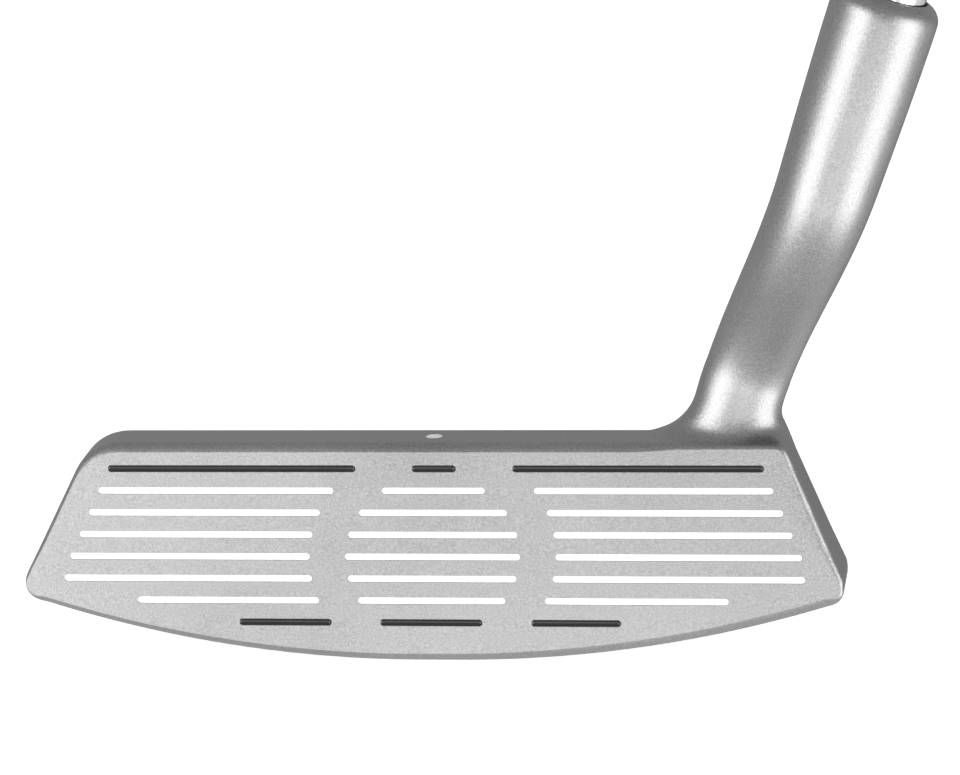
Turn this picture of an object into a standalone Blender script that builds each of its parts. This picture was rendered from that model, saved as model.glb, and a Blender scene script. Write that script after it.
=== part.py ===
"""Blade putter: a cast one-piece head with a gooseneck hosel, enamel-filled face
lines, a stepped steel shaft bonded into the hosel, and a pistol putter grip.

Frame: metres, +Z up. The origin is the middle of the sole's flat, on the ground.
-Y is the way the face looks (the target), -X is the toe and +X the heel. The club
stands at address, so the shaft leans to +X by 90 degrees less its lie.
"""

import math

import bmesh
import bpy
from mathutils import Matrix, Vector

MM = 0.001

# ---------------------------------------------------------------- blade
TOE_REACH = 55.9 * MM            # middle of the face to the tip of the toe
HEEL_REACH = 54.7 * MM           # middle of the face to the tip of the heel
BLADE_HEIGHT = 30.0 * MM         # sole to topline
TOPLINE_THICKNESS = 8.5 * MM     # face to back, along the topline
LOFT = math.radians(4.0)
LEADING_EDGE_Y = -9.0 * MM       # the face plane where it reaches the ground
BACK_DRAFT = math.radians(3.0)   # the back leans out towards the sole
TOE_SLANT = math.radians(27.2)
HEEL_SLANT = math.radians(22.0)
SOLE_FLAT = 5.0 * MM             # length of the flat in the middle of the sole
SOLE_RADIUS = 168.0 * MM         # the sole's rocker, toe to heel
LOWER_CORNER_RADIUS = 3.0 * MM
TOE_TOP_RADIUS = 7.0 * MM
HEEL_TOP_RADIUS = 1.5 * MM
TOP_FRONT_ROUND = 1.5 * MM       # depth of the topline's front round
TOP_FRONT_DROP = 1.0 * MM        # height of the same round
TOP_BACK_RADIUS = 1.5 * MM
LEADING_RADIUS = 1.6 * MM
FULL_ROUND_HEIGHT = 9.0 * MM     # where the blade is lower than this, its edge rounds shrink

# ---------------------------------------------------------------- flange behind the blade
FLANGE_DEPTH = 11.0 * MM         # how far it stands behind the blade's back
FLANGE_HEIGHT = 9.0 * MM
FLANGE_LIP_RADIUS = 2.2 * MM
FLANGE_SOLE_RADIUS = 3.0 * MM
FLANGE_LEAST_ROUND = 0.1 * MM    # its lip where the flange has faded out
CAVITY_RADIUS = 6.0 * MM         # hollow round between the back and the flange
FLANGE_END_INSET = 5.3 * MM      # from each tip of the blade in to where the flange has faded out
FULL_FLANGE_BLADE = 22.0 * MM    # where the blade is lower than this, the flange shrinks
ROUND_LIMIT = 0.8                # the most of its wall that a flange round takes

# ---------------------------------------------------------------- neck and hosel
LIE = math.radians(71.4)
SHAFT_AXIS_Y = -13.0 * MM        # in front of the leading edge: the offset
HOSEL_RISE = 61.0 * MM           # topline to the top of the hosel
HOSEL_WALL = 2.04 * MM           # round the shaft's bore
HOSEL_SHOULDER_RADIUS = 2.4 * MM
NECK_HEEL_INSET = 7.86 * MM      # the neck's path to the blade's heel side, at the topline
NECK_WIDTH = 11.5 * MM           # toe to heel, where the neck leaves the blade
NECK_DEPTH = 9.2 * MM            # face to back, at the same place
NECK_FRONT_SHARE = 0.45          # of that depth, in front of the neck's path
NECK_LEDGE = 2.2 * MM            # topline left in front of the neck
NECK_SIDE_SHIFT = 2.3 * MM       # the neck's foot stands this far to the toe of the shaft's axis
NECK_FILLET = 5.0 * MM           # the round into the topline on the toe side
FLARE_FRONT_BACK = 0.12          # of the toe side's flare, at the neck's front and back
FLARE_HEEL = 0.2                 # of the toe side's flare, at the neck's heel side
FLARE_SUNK = 0.6                 # of the toe side's flare, below the topline
NECK_BEND_START = 6.5 * MM       # above the topline
NECK_BEND_END = 36.5 * MM        # above the topline
NECK_ROUND_SHARE = 0.7           # of the bend's height, over which the neck becomes round
NECK_TURN_LENGTH = 4.0 * MM      # above the fillet, where the sections turn square to the path
NECK_ROOT_DEPTH = 13.0 * MM      # the neck fades into the blade this far below the topline
NECK_ROOT_END = 15.0 * MM        # its lowest section, inside the blade
NECK_ROOT_SINK = 1.0 * MM        # how far that section lies inside the blade's surface
NECK_PROUD = 0.25 * MM           # how far the neck's foot stands out of the blade's heel
NECK_HEEL_BLEND = 2.0 * MM       # above the topline, where it stops reaching to the heel

# ---------------------------------------------------------------- shaft, bond and bore
SHAFT_TIP_DIAMETER = 9.4 * MM
SHAFT_BUTT_DIAMETER = 14.7 * MM
SHAFT_WALL = 0.6 * MM
SHAFT_TIP_LENGTH = 200.0 * MM    # plain length from the hosel to the first step
SHAFT_STEPS = 9
SHAFT_STEP_SLOPE = 1.2 * MM      # length of each step's slope
LAST_STEP_MARGIN = 20.0 * MM     # from the last step up to the grip
BORE_DEPTH = 25.5 * MM
SHAFT_BOTTOM_MARGIN = 0.5 * MM   # from the shaft's end to the floor of the bore
SHAFT_TOP_MARGIN = 2.0 * MM      # from the shaft's end to the top of the grip
BOND_THICKNESS = 0.15 * MM
BOND_TOP_MARGIN = 0.6 * MM       # from the bond up to the top of the hosel
BOND_BOTTOM_MARGIN = 0.4 * MM    # from the shaft's end up to the bond
FIT_GAP = 0.08 * MM              # between pieces that are bonded face to face

# ---------------------------------------------------------------- grip
CLUB_LENGTH = 863.6 * MM         # along the shaft, ground to the top of the grip
GRIP_LENGTH = 265.0 * MM
GRIP_WALL = 1.91 * MM            # rubber round the tape, at the lower end
GRIP_FLAT_WALL = 1.26 * MM       # rubber under the thumb flat, at the lower end
GRIP_TOP_WIDTH = 27.0 * MM
GRIP_FLAT_AT_TOP = 11.6 * MM     # axis to the thumb flat, at the top
GRIP_EDGE_ROUND = 0.6 * MM
GRIP_EDGE_LENGTH = 1.6 * MM      # along the grip, over which its ends round off
PISTOL_BULGE = 5.5 * MM          # how far the heel of the hand's swell stands out
SWELL_START = 0.45               # share of the grip's length where the swell begins
SWELL_FULL = 0.85                # share of the grip's length where the swell is largest
SWELL_TOP_LOSS = 0.45            # share of the swell that is lost between there and the top
TAPE_THICKNESS = 0.25 * MM
TAPE_MARGIN = 4.0 * MM           # the tape stops short of each end of the grip
CAP_HEIGHT = 4.5 * MM
CAP_SHRINK = 0.3 * MM            # the cap's side inside the grip's outline
CAP_LOWER_CHAMFER = 0.6 * MM
CAP_EDGE_RADIUS = 1.6 * MM
VENT_DIAMETER = 3.0 * MM

# ---------------------------------------------------------------- face lines and dot
LINE_ROWS = 8
LINE_WIDTH = 0.87 * MM
LINE_DEPTH = 0.5 * MM
LINE_TOP_DROP = 3.3 * MM         # topline down to the top row
LINE_LOW_RISE = 5.7 * MM         # ground up to the bottom row
PATTERN_ROW = 5                  # the rings of line ends are centred on this row
MIDDLE_RING_REACH = 11.8 * MM    # half the width of the ring that the middle lines end on
OUTER_RING_REACH = 16.55 * MM    # half the width of the ring that the outer lines start on
RING_FLATTENING = 0.94           # height of the rings over their width
RING_LEAN = 0.045                # the rings' middle moves this share of the rise toward the heel
RING_SHIFT = -0.15 * MM          # the rings' middle at the pattern row, toward the heel
MIDDLE_LINE_LEAST = 2.95 * MM    # half the shortest middle line
OUTER_LINE_LEAST = 5.5 * MM      # the least that an outer line keeps from the middle of the face
TOE_SIDE_MARGIN = 4.4 * MM       # from the top line's outer end to the toe side
TOE_MARGIN_STEP = 0.13 * MM      # what each lower line adds to that
HEEL_SIDE_MARGIN = 4.1 * MM      # from a line's outer end to the heel side
TOE_SOLE_MARGIN = 3.97 * MM      # from the toe end of the bottom line down to the sole
HEEL_SOLE_MARGIN = 4.2 * MM      # the same at the heel end
SOLE_MARGIN_STEP = 0.46 * MM     # what each line above the bottom one adds to them
FILL_RECESS = 0.05 * MM
DOT_DIAMETER = 2.2 * MM
DOT_DEPTH = 0.6 * MM
CUT_CLEARANCE = 1.0 * MM         # a cutter stands this far out of the surface that it cuts

# ---------------------------------------------------------------- fineness of round shapes
RING_SEGMENTS = 28
TURNED_SEGMENTS = 24
ARC_STEPS = 4
TOP_SPANS = 7                    # sections along each half of the topline
SIDE_SPANS = 3                   # sections along each sloping side
ROOT_RINGS = 8                   # sections of the neck inside the blade
FILLET_RINGS = 6                 # sections of the neck up its fillet
NECK_SPANS = 14                  # sections from the fillet to the hosel's shoulder
LINE_END_STEPS = 6
GRIP_FLAT_POINTS = 4
GRIP_SHARES = (0.06, 0.2, 0.35, 0.45, 0.52, 0.59, 0.66, 0.73, 0.8, 0.86, 0.91, 0.96)
SHARP_ANGLE = math.radians(35.0)
FLAT_ANGLE = math.radians(0.02)  # faces closer than this are one flat face
END_ARC_CUT = math.radians(14.0)  # the blade's tips end in a small flat, this far round

# ---------------------------------------------------------------- worked-out sizes
LEAN = math.pi / 2 - LIE
SHAFT_DIRECTION = Vector((math.sin(LEAN), 0.0, math.cos(LEAN)))
HOSEL_TOP_Z = BLADE_HEIGHT + HOSEL_RISE
HOSEL_TOP_REACH = HOSEL_TOP_Z / math.cos(LEAN)
SHAFT_BOTTOM_REACH = HOSEL_TOP_REACH - BORE_DEPTH + SHAFT_BOTTOM_MARGIN
GRIP_TOP_REACH = CLUB_LENGTH - CAP_HEIGHT
GRIP_BOTTOM_REACH = GRIP_TOP_REACH - GRIP_LENGTH
SHAFT_TOP_REACH = GRIP_TOP_REACH - SHAFT_TOP_MARGIN
BORE_DIAMETER = SHAFT_TIP_DIAMETER + 2 * (BOND_THICKNESS + 2 * FIT_GAP)
HOSEL_DIAMETER = BORE_DIAMETER + 2 * HOSEL_WALL
GRIP_BORE_DIAMETER = SHAFT_BUTT_DIAMETER + 2 * (TAPE_THICKNESS + 3 * FIT_GAP)
GRIP_MOUTH_RADIUS = GRIP_BORE_DIAMETER / 2 + GRIP_WALL
GRIP_FLAT_AT_MOUTH = GRIP_BORE_DIAMETER / 2 + GRIP_FLAT_WALL
LINE_PITCH = (BLADE_HEIGHT - LINE_TOP_DROP - LINE_LOW_RISE) / (LINE_ROWS - 1)
FACE_NORMAL = Vector((0.0, -math.cos(LOFT), math.sin(LOFT)))
FACE_UP = Vector((0.0, math.sin(LOFT), math.cos(LOFT)))


def smooth(value):
    """Ease from 0 to 1 as value goes from 0 to 1."""
    value = min(max(value, 0.0), 1.0)
    return value * value * (3.0 - 2.0 * value)


def arc(centre, radius, start, end, steps):
    """Points on a round from one angle to another, both ends included."""
    points = []
    for step in range(steps + 1):
        angle = start + (end - start) * step / steps
        points.append((centre[0] + radius * math.cos(angle), centre[1] + radius * math.sin(angle)))
    return points


# ---------------------------------------------------------------- scene helpers
def clear_scene():
    for obj in list(bpy.data.objects):
        bpy.data.objects.remove(obj, do_unlink=True)


def make_collection(name):
    collection = bpy.data.collections.new(name)
    bpy.context.scene.collection.children.link(collection)
    return collection


def make_material(name, colour, roughness, metallic):
    material = bpy.data.materials.new(name)
    material.use_nodes = True
    shader = material.node_tree.nodes["Principled BSDF"]
    shader.inputs["Base Color"].default_value = (*colour, 1.0)
    shader.inputs["Roughness"].default_value = roughness
    shader.inputs["Metallic"].default_value = metallic
    material.diffuse_color = (*colour, 1.0)
    return material


def add_object(name, mesh, collection, material=None):
    obj = bpy.data.objects.new(name, mesh)
    collection.objects.link(obj)
    if material is not None:
        mesh.materials.append(material)
    return obj


def loft_mesh(name, rings, closed_path=False):
    """Skin a run of rings that all have the same number of points, and cap its ends."""
    shape = bmesh.new()
    loops = [[shape.verts.new(point) for point in ring] for ring in rings]
    pairs = list(zip(loops, loops[1:]))
    if closed_path:
        pairs.append((loops[-1], loops[0]))
    for lower, upper in pairs:
        for index in range(len(lower)):
            following = (index + 1) % len(lower)
            shape.faces.new((lower[index], lower[following], upper[following], upper[index]))
    if not closed_path:
        shape.faces.new(list(reversed(loops[0])))
        shape.faces.new(loops[-1])
    bmesh.ops.recalc_face_normals(shape, faces=shape.faces)
    mesh = bpy.data.meshes.new(name)
    shape.to_mesh(mesh)
    shape.free()
    mesh.shade_smooth()
    mesh.set_sharp_from_angle(angle=SHARP_ANGLE)
    return mesh


def turned_object(name, profile, collection, material, placement, segments=TURNED_SEGMENTS):
    """A closed profile of (radius, height) points, turned about Z by a Screw modifier.

    The profile runs down its outer side and back up its inner side.
    """
    mesh = bpy.data.meshes.new(name)
    count = len(profile)
    edges = [(index, (index + 1) % count) for index in range(count)]
    mesh.from_pydata([(radius, 0.0, height) for radius, height in profile], edges, [])
    obj = add_object(name, mesh, collection, material)
    screw = obj.modifiers.new("turn", "SCREW")
    screw.axis = "Z"
    screw.steps = segments
    screw.render_steps = segments
    screw.use_merge_vertices = True
    screw.merge_threshold = 0.00001
    screw.use_smooth_shade = True
    obj.matrix_world = placement
    return obj


def cut(target, cutter, operation="DIFFERENCE"):
    modifier = target.modifiers.new(cutter.name, "BOOLEAN")
    modifier.operation = operation
    modifier.solver = "EXACT"
    modifier.object = cutter


def hide_cutter(cutter):
    cutter.hide_render = True
    cutter.display_type = "WIRE"


# ---------------------------------------------------------------- blade outline, seen from the front
def end_outline(reach, slant, top_radius):
    """One end of the blade's outline, measured outwards from the middle of the face."""
    corner_x = reach - LOWER_CORNER_RADIUS
    half_flat = SOLE_FLAT / 2
    inner = SOLE_RADIUS - LOWER_CORNER_RADIUS
    corner_z = SOLE_RADIUS - math.sqrt(inner ** 2 - (corner_x - half_flat) ** 2)
    side_x = corner_x + LOWER_CORNER_RADIUS * math.cos(slant)
    side_z = corner_z + LOWER_CORNER_RADIUS * math.sin(slant)
    top_z = BLADE_HEIGHT - top_radius
    top_x = side_x - (top_radius + math.sin(slant) * (top_z - side_z)) / math.cos(slant)
    return {
        "corner": (corner_x, corner_z),
        "side": (side_x, side_z),
        "top": (top_x, top_z),
        "slant": slant,
        "top_radius": top_radius,
    }


TOE_END = end_outline(TOE_REACH, TOE_SLANT, TOE_TOP_RADIUS)
HEEL_END = end_outline(HEEL_REACH, HEEL_SLANT, HEEL_TOP_RADIUS)


def end_at(x):
    return HEEL_END if x > 0.0 else TOE_END


def sole_height(x):
    """Height of the sole's underside at x."""
    end = end_at(x)
    distance = abs(x)
    half_flat = SOLE_FLAT / 2
    corner_x, corner_z = end["corner"]
    share = SOLE_RADIUS / (SOLE_RADIUS - LOWER_CORNER_RADIUS)
    tangent_x = half_flat + (corner_x - half_flat) * share
    if distance <= half_flat:
        return 0.0
    if distance <= tangent_x:
        return SOLE_RADIUS - math.sqrt(SOLE_RADIUS ** 2 - (distance - half_flat) ** 2)
    return corner_z - math.sqrt(max(LOWER_CORNER_RADIUS ** 2 - (distance - corner_x) ** 2, 0.0))


def top_height(x):
    """Height of the blade's top or sloping side at x."""
    end = end_at(x)
    distance = abs(x)
    top_x, top_z = end["top"]
    side_x, side_z = end["side"]
    corner_x, corner_z = end["corner"]
    radius = end["top_radius"]
    if distance <= top_x:
        return BLADE_HEIGHT
    if distance <= top_x + radius * math.cos(end["slant"]):
        return top_z + math.sqrt(radius ** 2 - (distance - top_x) ** 2)
    if distance <= side_x:
        return side_z + (side_x - distance) / math.tan(end["slant"])
    return corner_z + math.sqrt(max(LOWER_CORNER_RADIUS ** 2 - (distance - corner_x) ** 2, 0.0))


def side_reach(end, z):
    """How far out the sloping side is at height z."""
    side_x, side_z = end["side"]
    return side_x - (z - side_z) * math.tan(end["slant"])


# The shaft's axis meets the ground where the neck's foot ends up beside the heel.
SHAFT_AXIS_X = (
    side_reach(HEEL_END, BLADE_HEIGHT) - NECK_HEEL_INSET + NECK_SIDE_SHIFT
    - BLADE_HEIGHT * math.tan(LEAN)
)
SHAFT_FOOT = Vector((SHAFT_AXIS_X, SHAFT_AXIS_Y, 0.0))


def place_on_shaft(reach):
    """A matrix that stands +Z along the shaft, its origin this far up from the ground."""
    turn = Matrix.Rotation(LEAN, 4, "Y")
    return Matrix.Translation(SHAFT_FOOT + SHAFT_DIRECTION * reach) @ turn


def face_y(z):
    return LEADING_EDGE_Y + z * math.tan(LOFT)


BACK_TOP_Y = face_y(BLADE_HEIGHT - TOP_FRONT_DROP) + TOPLINE_THICKNESS


def back_y(z):
    return BACK_TOP_Y + (BLADE_HEIGHT - z) * math.tan(BACK_DRAFT)


def end_stations(end):
    """Distances from the middle of the face for the sections at one end."""
    top_x = end["top"][0]
    side_x = end["side"][0]
    corner_x = end["corner"][0]
    distances = [SOLE_FLAT / 2]
    for index in range(1, TOP_SPANS + 1):
        distances.append(SOLE_FLAT / 2 + (top_x - SOLE_FLAT / 2) * index / TOP_SPANS)
    for step in range(1, ARC_STEPS + 1):
        angle = math.pi / 2 - (math.pi / 2 - end["slant"]) * step / ARC_STEPS
        distances.append(top_x + end["top_radius"] * math.cos(angle))
    side_start = distances[-1]
    for index in range(1, SIDE_SPANS + 1):
        distances.append(side_start + (side_x - side_start) * index / SIDE_SPANS)
    for step in range(1, ARC_STEPS + 1):
        angle = end["slant"] + (END_ARC_CUT - end["slant"]) * step / ARC_STEPS
        distances.append(corner_x + LOWER_CORNER_RADIUS * math.cos(angle))
    return distances


def flange_share(x):
    """1 in the middle of the flange and 0 at its rounded ends."""
    tip = HEEL_REACH if x > 0.0 else TOE_REACH
    along = min(abs(x) / (tip - FLANGE_END_INSET), 1.0)
    return math.sqrt(1.0 - along ** 4)


def blade_section(x):
    """The blade's section at x, as a ring of points that starts at the face's top edge."""
    low = sole_height(x)
    high = top_height(x)
    local = high - low
    small = min(1.0, local / FULL_ROUND_HEIGHT)
    squeeze = min(1.0, local / FULL_FLANGE_BLADE)
    drop = TOP_FRONT_DROP * small
    depth = TOP_FRONT_ROUND * small
    top_back = TOP_BACK_RADIUS * small
    extra = FLANGE_DEPTH * flange_share(x)
    points = []
    face_edge = (face_y(high - drop), high - drop)
    for step in range(ARC_STEPS + 1):
        angle = math.pi / 2 * step / ARC_STEPS
        inwards = depth * (1.0 - math.cos(angle))
        points.append((face_edge[0] + inwards, face_edge[1] + drop * math.sin(angle)))
    back_edge = back_y(high - top_back)
    points += arc((back_edge - top_back, high - top_back), top_back, math.pi / 2, 0.0, ARC_STEPS)

    # The hollow round, then the flange's top, lip, back and underside.
    flange_top = low + FLANGE_HEIGHT * squeeze
    hollow = CAVITY_RADIUS * squeeze
    reach = min(1.0, extra / (FLANGE_DEPTH * ROUND_LIMIT))
    for step in range(ARC_STEPS + 1):
        angle = math.pi / 2 * step / ARC_STEPS
        points.append((
            back_y(flange_top + hollow) + hollow * (1.0 - math.cos(angle)) * reach,
            flange_top + hollow * (1.0 - math.sin(angle)),
        ))
    back_wall = back_y(flange_top) + extra
    lip = max(min(FLANGE_LIP_RADIUS * squeeze, ROUND_LIMIT * extra), FLANGE_LEAST_ROUND)
    points += arc((back_wall - lip, flange_top - lip), lip, math.pi / 2, 0.0, ARC_STEPS - 1)
    under = min(FLANGE_SOLE_RADIUS * squeeze, (flange_top - low - lip) * ROUND_LIMIT)
    points += arc((back_wall - under, low + under), under, 0.0, -math.pi / 2, ARC_STEPS - 1)

    # The leading edge, from the sole round to the face.
    lead = LEADING_RADIUS * small
    centre = (face_y(low + lead) + lead / math.cos(LOFT), low + lead)
    points += arc(centre, lead, -math.pi / 2, -math.pi - LOFT, ARC_STEPS)
    return [Vector((x, y, z)) for y, z in points]


def make_blade(collection, material):
    toe = [-distance for distance in reversed(end_stations(TOE_END))]
    stations = toe + end_stations(HEEL_END)
    mesh = loft_mesh("head_casting", [blade_section(x) for x in stations])
    shape = bmesh.new()
    shape.from_mesh(mesh)
    bmesh.ops.dissolve_limit(
        shape,
        angle_limit=FLAT_ANGLE,
        verts=shape.verts,
        edges=shape.edges,
    )
    shape.to_mesh(mesh)
    shape.free()
    return add_object("head_casting", mesh, collection, material)


# ---------------------------------------------------------------- neck
def shaft_x(z):
    return SHAFT_AXIS_X + z * math.tan(LEAN)


NECK_FOOT_FRONT = face_y(BLADE_HEIGHT - TOP_FRONT_DROP) + NECK_LEDGE
NECK_FRONT_DEPTH = NECK_DEPTH * NECK_FRONT_SHARE
NECK_BACK_DEPTH = NECK_DEPTH - NECK_FRONT_DEPTH
NECK_FOOT_Y = NECK_FOOT_FRONT + NECK_FRONT_DEPTH
BEND_START_Z = BLADE_HEIGHT + NECK_BEND_START
BEND_END_Z = BLADE_HEIGHT + NECK_BEND_END
NECK_STRIDE = 0.5 * MM           # either side of a section, to find the way that the neck runs
SUNK_LEAST = 0.05 * MM           # the neck's first section below the topline


def neck_centre(z):
    bend = smooth((z - BEND_START_Z) / (BEND_END_Z - BEND_START_Z))
    x = shaft_x(z) - NECK_SIDE_SHIFT * (1.0 - bend)
    y = NECK_FOOT_Y + (SHAFT_AXIS_Y - NECK_FOOT_Y) * bend
    return Vector((x, y, z))


def quadrant_ring(centre, right, rear, toe, heel, front, back):
    """A ring made of four quarter ellipses that meet smoothly."""
    points = []
    for index in range(RING_SEGMENTS):
        angle = math.tau * index / RING_SEGMENTS
        across = math.cos(angle)
        along = math.sin(angle)
        side = heel if across > 0.0 else toe
        depth = back if along > 0.0 else front
        points.append(centre + right * (side * across) + rear * (depth * along))
    return points


def neck_foot_ring(rise):
    """A level ring round the neck's foot, this far above (or below) the topline."""
    z = BLADE_HEIGHT + rise
    centre = neck_centre(z)
    half_width = NECK_WIDTH / 2 / math.cos(LEAN)
    radius = NECK_FILLET
    flare = 0.0
    if rise < radius:
        flare = radius - math.sqrt(radius ** 2 - (radius - max(rise, 0.0)) ** 2)
    fade = smooth(-rise / NECK_ROOT_DEPTH)
    wall = side_reach(HEEL_END, z) - centre.x
    toe = half_width + flare
    front = NECK_FRONT_DEPTH + FLARE_FRONT_BACK * flare
    back = NECK_BACK_DEPTH + FLARE_FRONT_BACK * flare
    heel = half_width + FLARE_HEEL * flare
    if 0.0 <= rise < NECK_HEEL_BLEND:
        heel = max(heel, min(wall, half_width * 2) + NECK_PROUD)
    if rise < 0.0:
        toe = half_width + FLARE_SUNK * flare
        front = NECK_FRONT_DEPTH
        heel = wall + NECK_PROUD - NECK_ROOT_SINK * fade
        stand = (NECK_FOOT_Y + back - BACK_TOP_Y) * (1.0 - fade) - NECK_ROOT_SINK * fade
        back = back_y(z) + stand - centre.y
    return quadrant_ring(centre, Vector((1, 0, 0)), Vector((0, 1, 0)), toe, heel, front, back)


def neck_ring(z):
    """A ring square to the neck's own path."""
    centre = neck_centre(z)
    path = (neck_centre(z + NECK_STRIDE) - neck_centre(z - NECK_STRIDE)).normalized()
    turn = smooth((z - BLADE_HEIGHT - NECK_FILLET) / NECK_TURN_LENGTH)
    path = Vector((0, 0, 1)).lerp(path, turn).normalized()
    rear = (Vector((0, 1, 0)) - path * path.y).normalized()
    right = rear.cross(path)
    span = (z - BEND_START_Z) / (HOSEL_TOP_Z - BEND_START_Z)
    radius = NECK_WIDTH / 2 + (HOSEL_DIAMETER - NECK_WIDTH) / 2 * smooth(span)
    side = radius / (math.cos(LEAN) + (1.0 - math.cos(LEAN)) * turn)
    round_off = smooth((z - BEND_START_Z) / (NECK_ROUND_SHARE * (BEND_END_Z - BEND_START_Z)))
    front = NECK_FRONT_DEPTH + (radius - NECK_FRONT_DEPTH) * round_off
    back = NECK_BACK_DEPTH + (radius - NECK_BACK_DEPTH) * round_off
    return quadrant_ring(centre, right, rear, side, side, front, back)


def make_neck(collection):
    rings = []
    for index in range(ROOT_RINGS, -1, -1):
        depth = SUNK_LEAST + (NECK_ROOT_END - SUNK_LEAST) * (index / ROOT_RINGS) ** 2
        rings.append(neck_foot_ring(-depth))
    for index in range(1, FILLET_RINGS + 1):
        angle = math.pi / 2 * index / (FILLET_RINGS + 1)
        rings.append(neck_foot_ring(NECK_FILLET * (1.0 - math.cos(angle))))
    hosel_straight_top = HOSEL_TOP_Z - HOSEL_SHOULDER_RADIUS * math.cos(LEAN)
    start = BLADE_HEIGHT + NECK_FILLET
    for index in range(NECK_SPANS + 1):
        rings.append(neck_ring(start + (hosel_straight_top - start) * index / NECK_SPANS))
    top = place_on_shaft(HOSEL_TOP_REACH)
    radius = HOSEL_DIAMETER / 2
    shoulder = HOSEL_SHOULDER_RADIUS
    for step in range(1, ARC_STEPS + 1):
        angle = math.pi / 2 * step / ARC_STEPS
        ring_radius = radius - shoulder * (1.0 - math.cos(angle))
        height = -shoulder * (1.0 - math.sin(angle))
        ring = []
        for index in range(RING_SEGMENTS):
            turn = math.tau * index / RING_SEGMENTS
            ring.append(top @ Vector((ring_radius * math.cos(turn), ring_radius * math.sin(turn), height)))
        rings.append(ring)
    neck = add_object("neck_form", loft_mesh("neck_form", rings), collection)
    hide_cutter(neck)
    return neck


# ---------------------------------------------------------------- face lines
def line_height(row):
    return BLADE_HEIGHT - LINE_TOP_DROP - (row - 1) * LINE_PITCH


def ring_half_width(reach, rise, least):
    """Half the width of a flattened ring of line ends, this far above its middle."""
    return reach * math.sqrt(max(1.0 - (rise / (reach * RING_FLATTENING)) ** 2, (least / reach) ** 2))


def sole_limit(row, margin):
    """How far out a low line may reach while it keeps its margin to the sole below it."""
    rise = line_height(row) - margin - (LINE_ROWS - row) * SOLE_MARGIN_STEP
    return SOLE_FLAT / 2 + math.sqrt(2 * SOLE_RADIUS * max(rise, 0.0))


def line_spans():
    """Every face line as (name, row, start x, end x)."""
    spans = []
    for row in range(1, LINE_ROWS + 1):
        z = line_height(row)
        rise = (PATTERN_ROW - row) * LINE_PITCH
        centre = RING_SHIFT + RING_LEAN * rise
        middle = ring_half_width(MIDDLE_RING_REACH, rise, MIDDLE_LINE_LEAST)
        inner = ring_half_width(OUTER_RING_REACH, rise, OUTER_LINE_LEAST)
        toe_margin = TOE_SIDE_MARGIN + (row - 1) * TOE_MARGIN_STEP
        toe = min(side_reach(TOE_END, z) - toe_margin, sole_limit(row, TOE_SOLE_MARGIN))
        heel = min(side_reach(HEEL_END, z) - HEEL_SIDE_MARGIN, sole_limit(row, HEEL_SOLE_MARGIN))
        colour = "black" if row in (1, LINE_ROWS) else "white"
        spans.append((f"{colour}_line_toe_{row}", row, -toe, centre - inner))
        spans.append((f"{colour}_line_middle_{row}", row, centre - middle, centre + middle))
        spans.append((f"{colour}_line_heel_{row}", row, centre + inner, heel))
    return spans


def slot_rings(row, start, end, width, near, far):
    """Two round-ended rings in the face, from near to far along the face's normal."""
    z = line_height(row)
    radius = width / 2
    outline = []
    for centre_x, first in ((end - LINE_WIDTH / 2, -math.pi / 2), (start + LINE_WIDTH / 2, math.pi / 2)):
        outline += arc((centre_x, 0.0), radius, first, first + math.pi, LINE_END_STEPS)
    rings = []
    for height in (near, far):
        origin = Vector((0.0, face_y(z), z)) + FACE_NORMAL * height
        rings.append([origin + Vector((across, 0, 0)) + FACE_UP * up for across, up in outline])
    return rings


def make_line_cutter(collection):
    """All of the line slots as one cutter, with a separate body for each slot."""
    joined = bmesh.new()
    for name, row, start, end in line_spans():
        rings = slot_rings(row, start, end, LINE_WIDTH, -LINE_DEPTH, CUT_CLEARANCE)
        mesh = loft_mesh(name + "_slot", rings)
        joined.from_mesh(mesh)
        bpy.data.meshes.remove(mesh)
    mesh = bpy.data.meshes.new("line_slots")
    joined.to_mesh(mesh)
    joined.free()
    cutter = add_object("line_slots", mesh, collection)
    hide_cutter(cutter)
    return cutter


def make_line_fills(collection, white, black):
    width = LINE_WIDTH - 2 * FIT_GAP
    for name, row, start, end in line_spans():
        rings = slot_rings(row, start, end, width, FIT_GAP - LINE_DEPTH, -FILL_RECESS)
        material = black if name.startswith("black") else white
        add_object(name, loft_mesh(name, rings), collection, material)


# ---------------------------------------------------------------- dot, bore and cutters
DOT_Y = (face_y(BLADE_HEIGHT - TOP_FRONT_DROP) + BACK_TOP_Y) / 2


def make_cylinder(name, radius, bottom, top, placement, collection, material=None):
    shape = bmesh.new()
    bmesh.ops.create_cone(
        shape,
        cap_ends=True,
        segments=TURNED_SEGMENTS,
        radius1=radius,
        radius2=radius,
        depth=top - bottom,
        matrix=Matrix.Translation((0.0, 0.0, (top + bottom) / 2)),
    )
    mesh = bpy.data.meshes.new(name)
    shape.to_mesh(mesh)
    shape.free()
    mesh.shade_smooth()
    mesh.set_sharp_from_angle(angle=SHARP_ANGLE)
    obj = add_object(name, mesh, collection, material)
    obj.matrix_world = placement
    return obj


def make_head(parts, cutters, steel):
    head = make_blade(parts, steel)
    cut(head, make_neck(cutters), "UNION")
    cut(head, make_line_cutter(cutters))
    dot_place = Matrix.Translation((0.0, DOT_Y, BLADE_HEIGHT))
    recess = make_cylinder("dot_recess", DOT_DIAMETER / 2, -DOT_DEPTH, CUT_CLEARANCE, dot_place, cutters)
    hide_cutter(recess)
    cut(head, recess)
    bore_place = place_on_shaft(HOSEL_TOP_REACH)
    bore = make_cylinder("shaft_bore", BORE_DIAMETER / 2, -BORE_DEPTH, CUT_CLEARANCE, bore_place, cutters)
    hide_cutter(bore)
    cut(head, bore)
    return head


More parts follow.
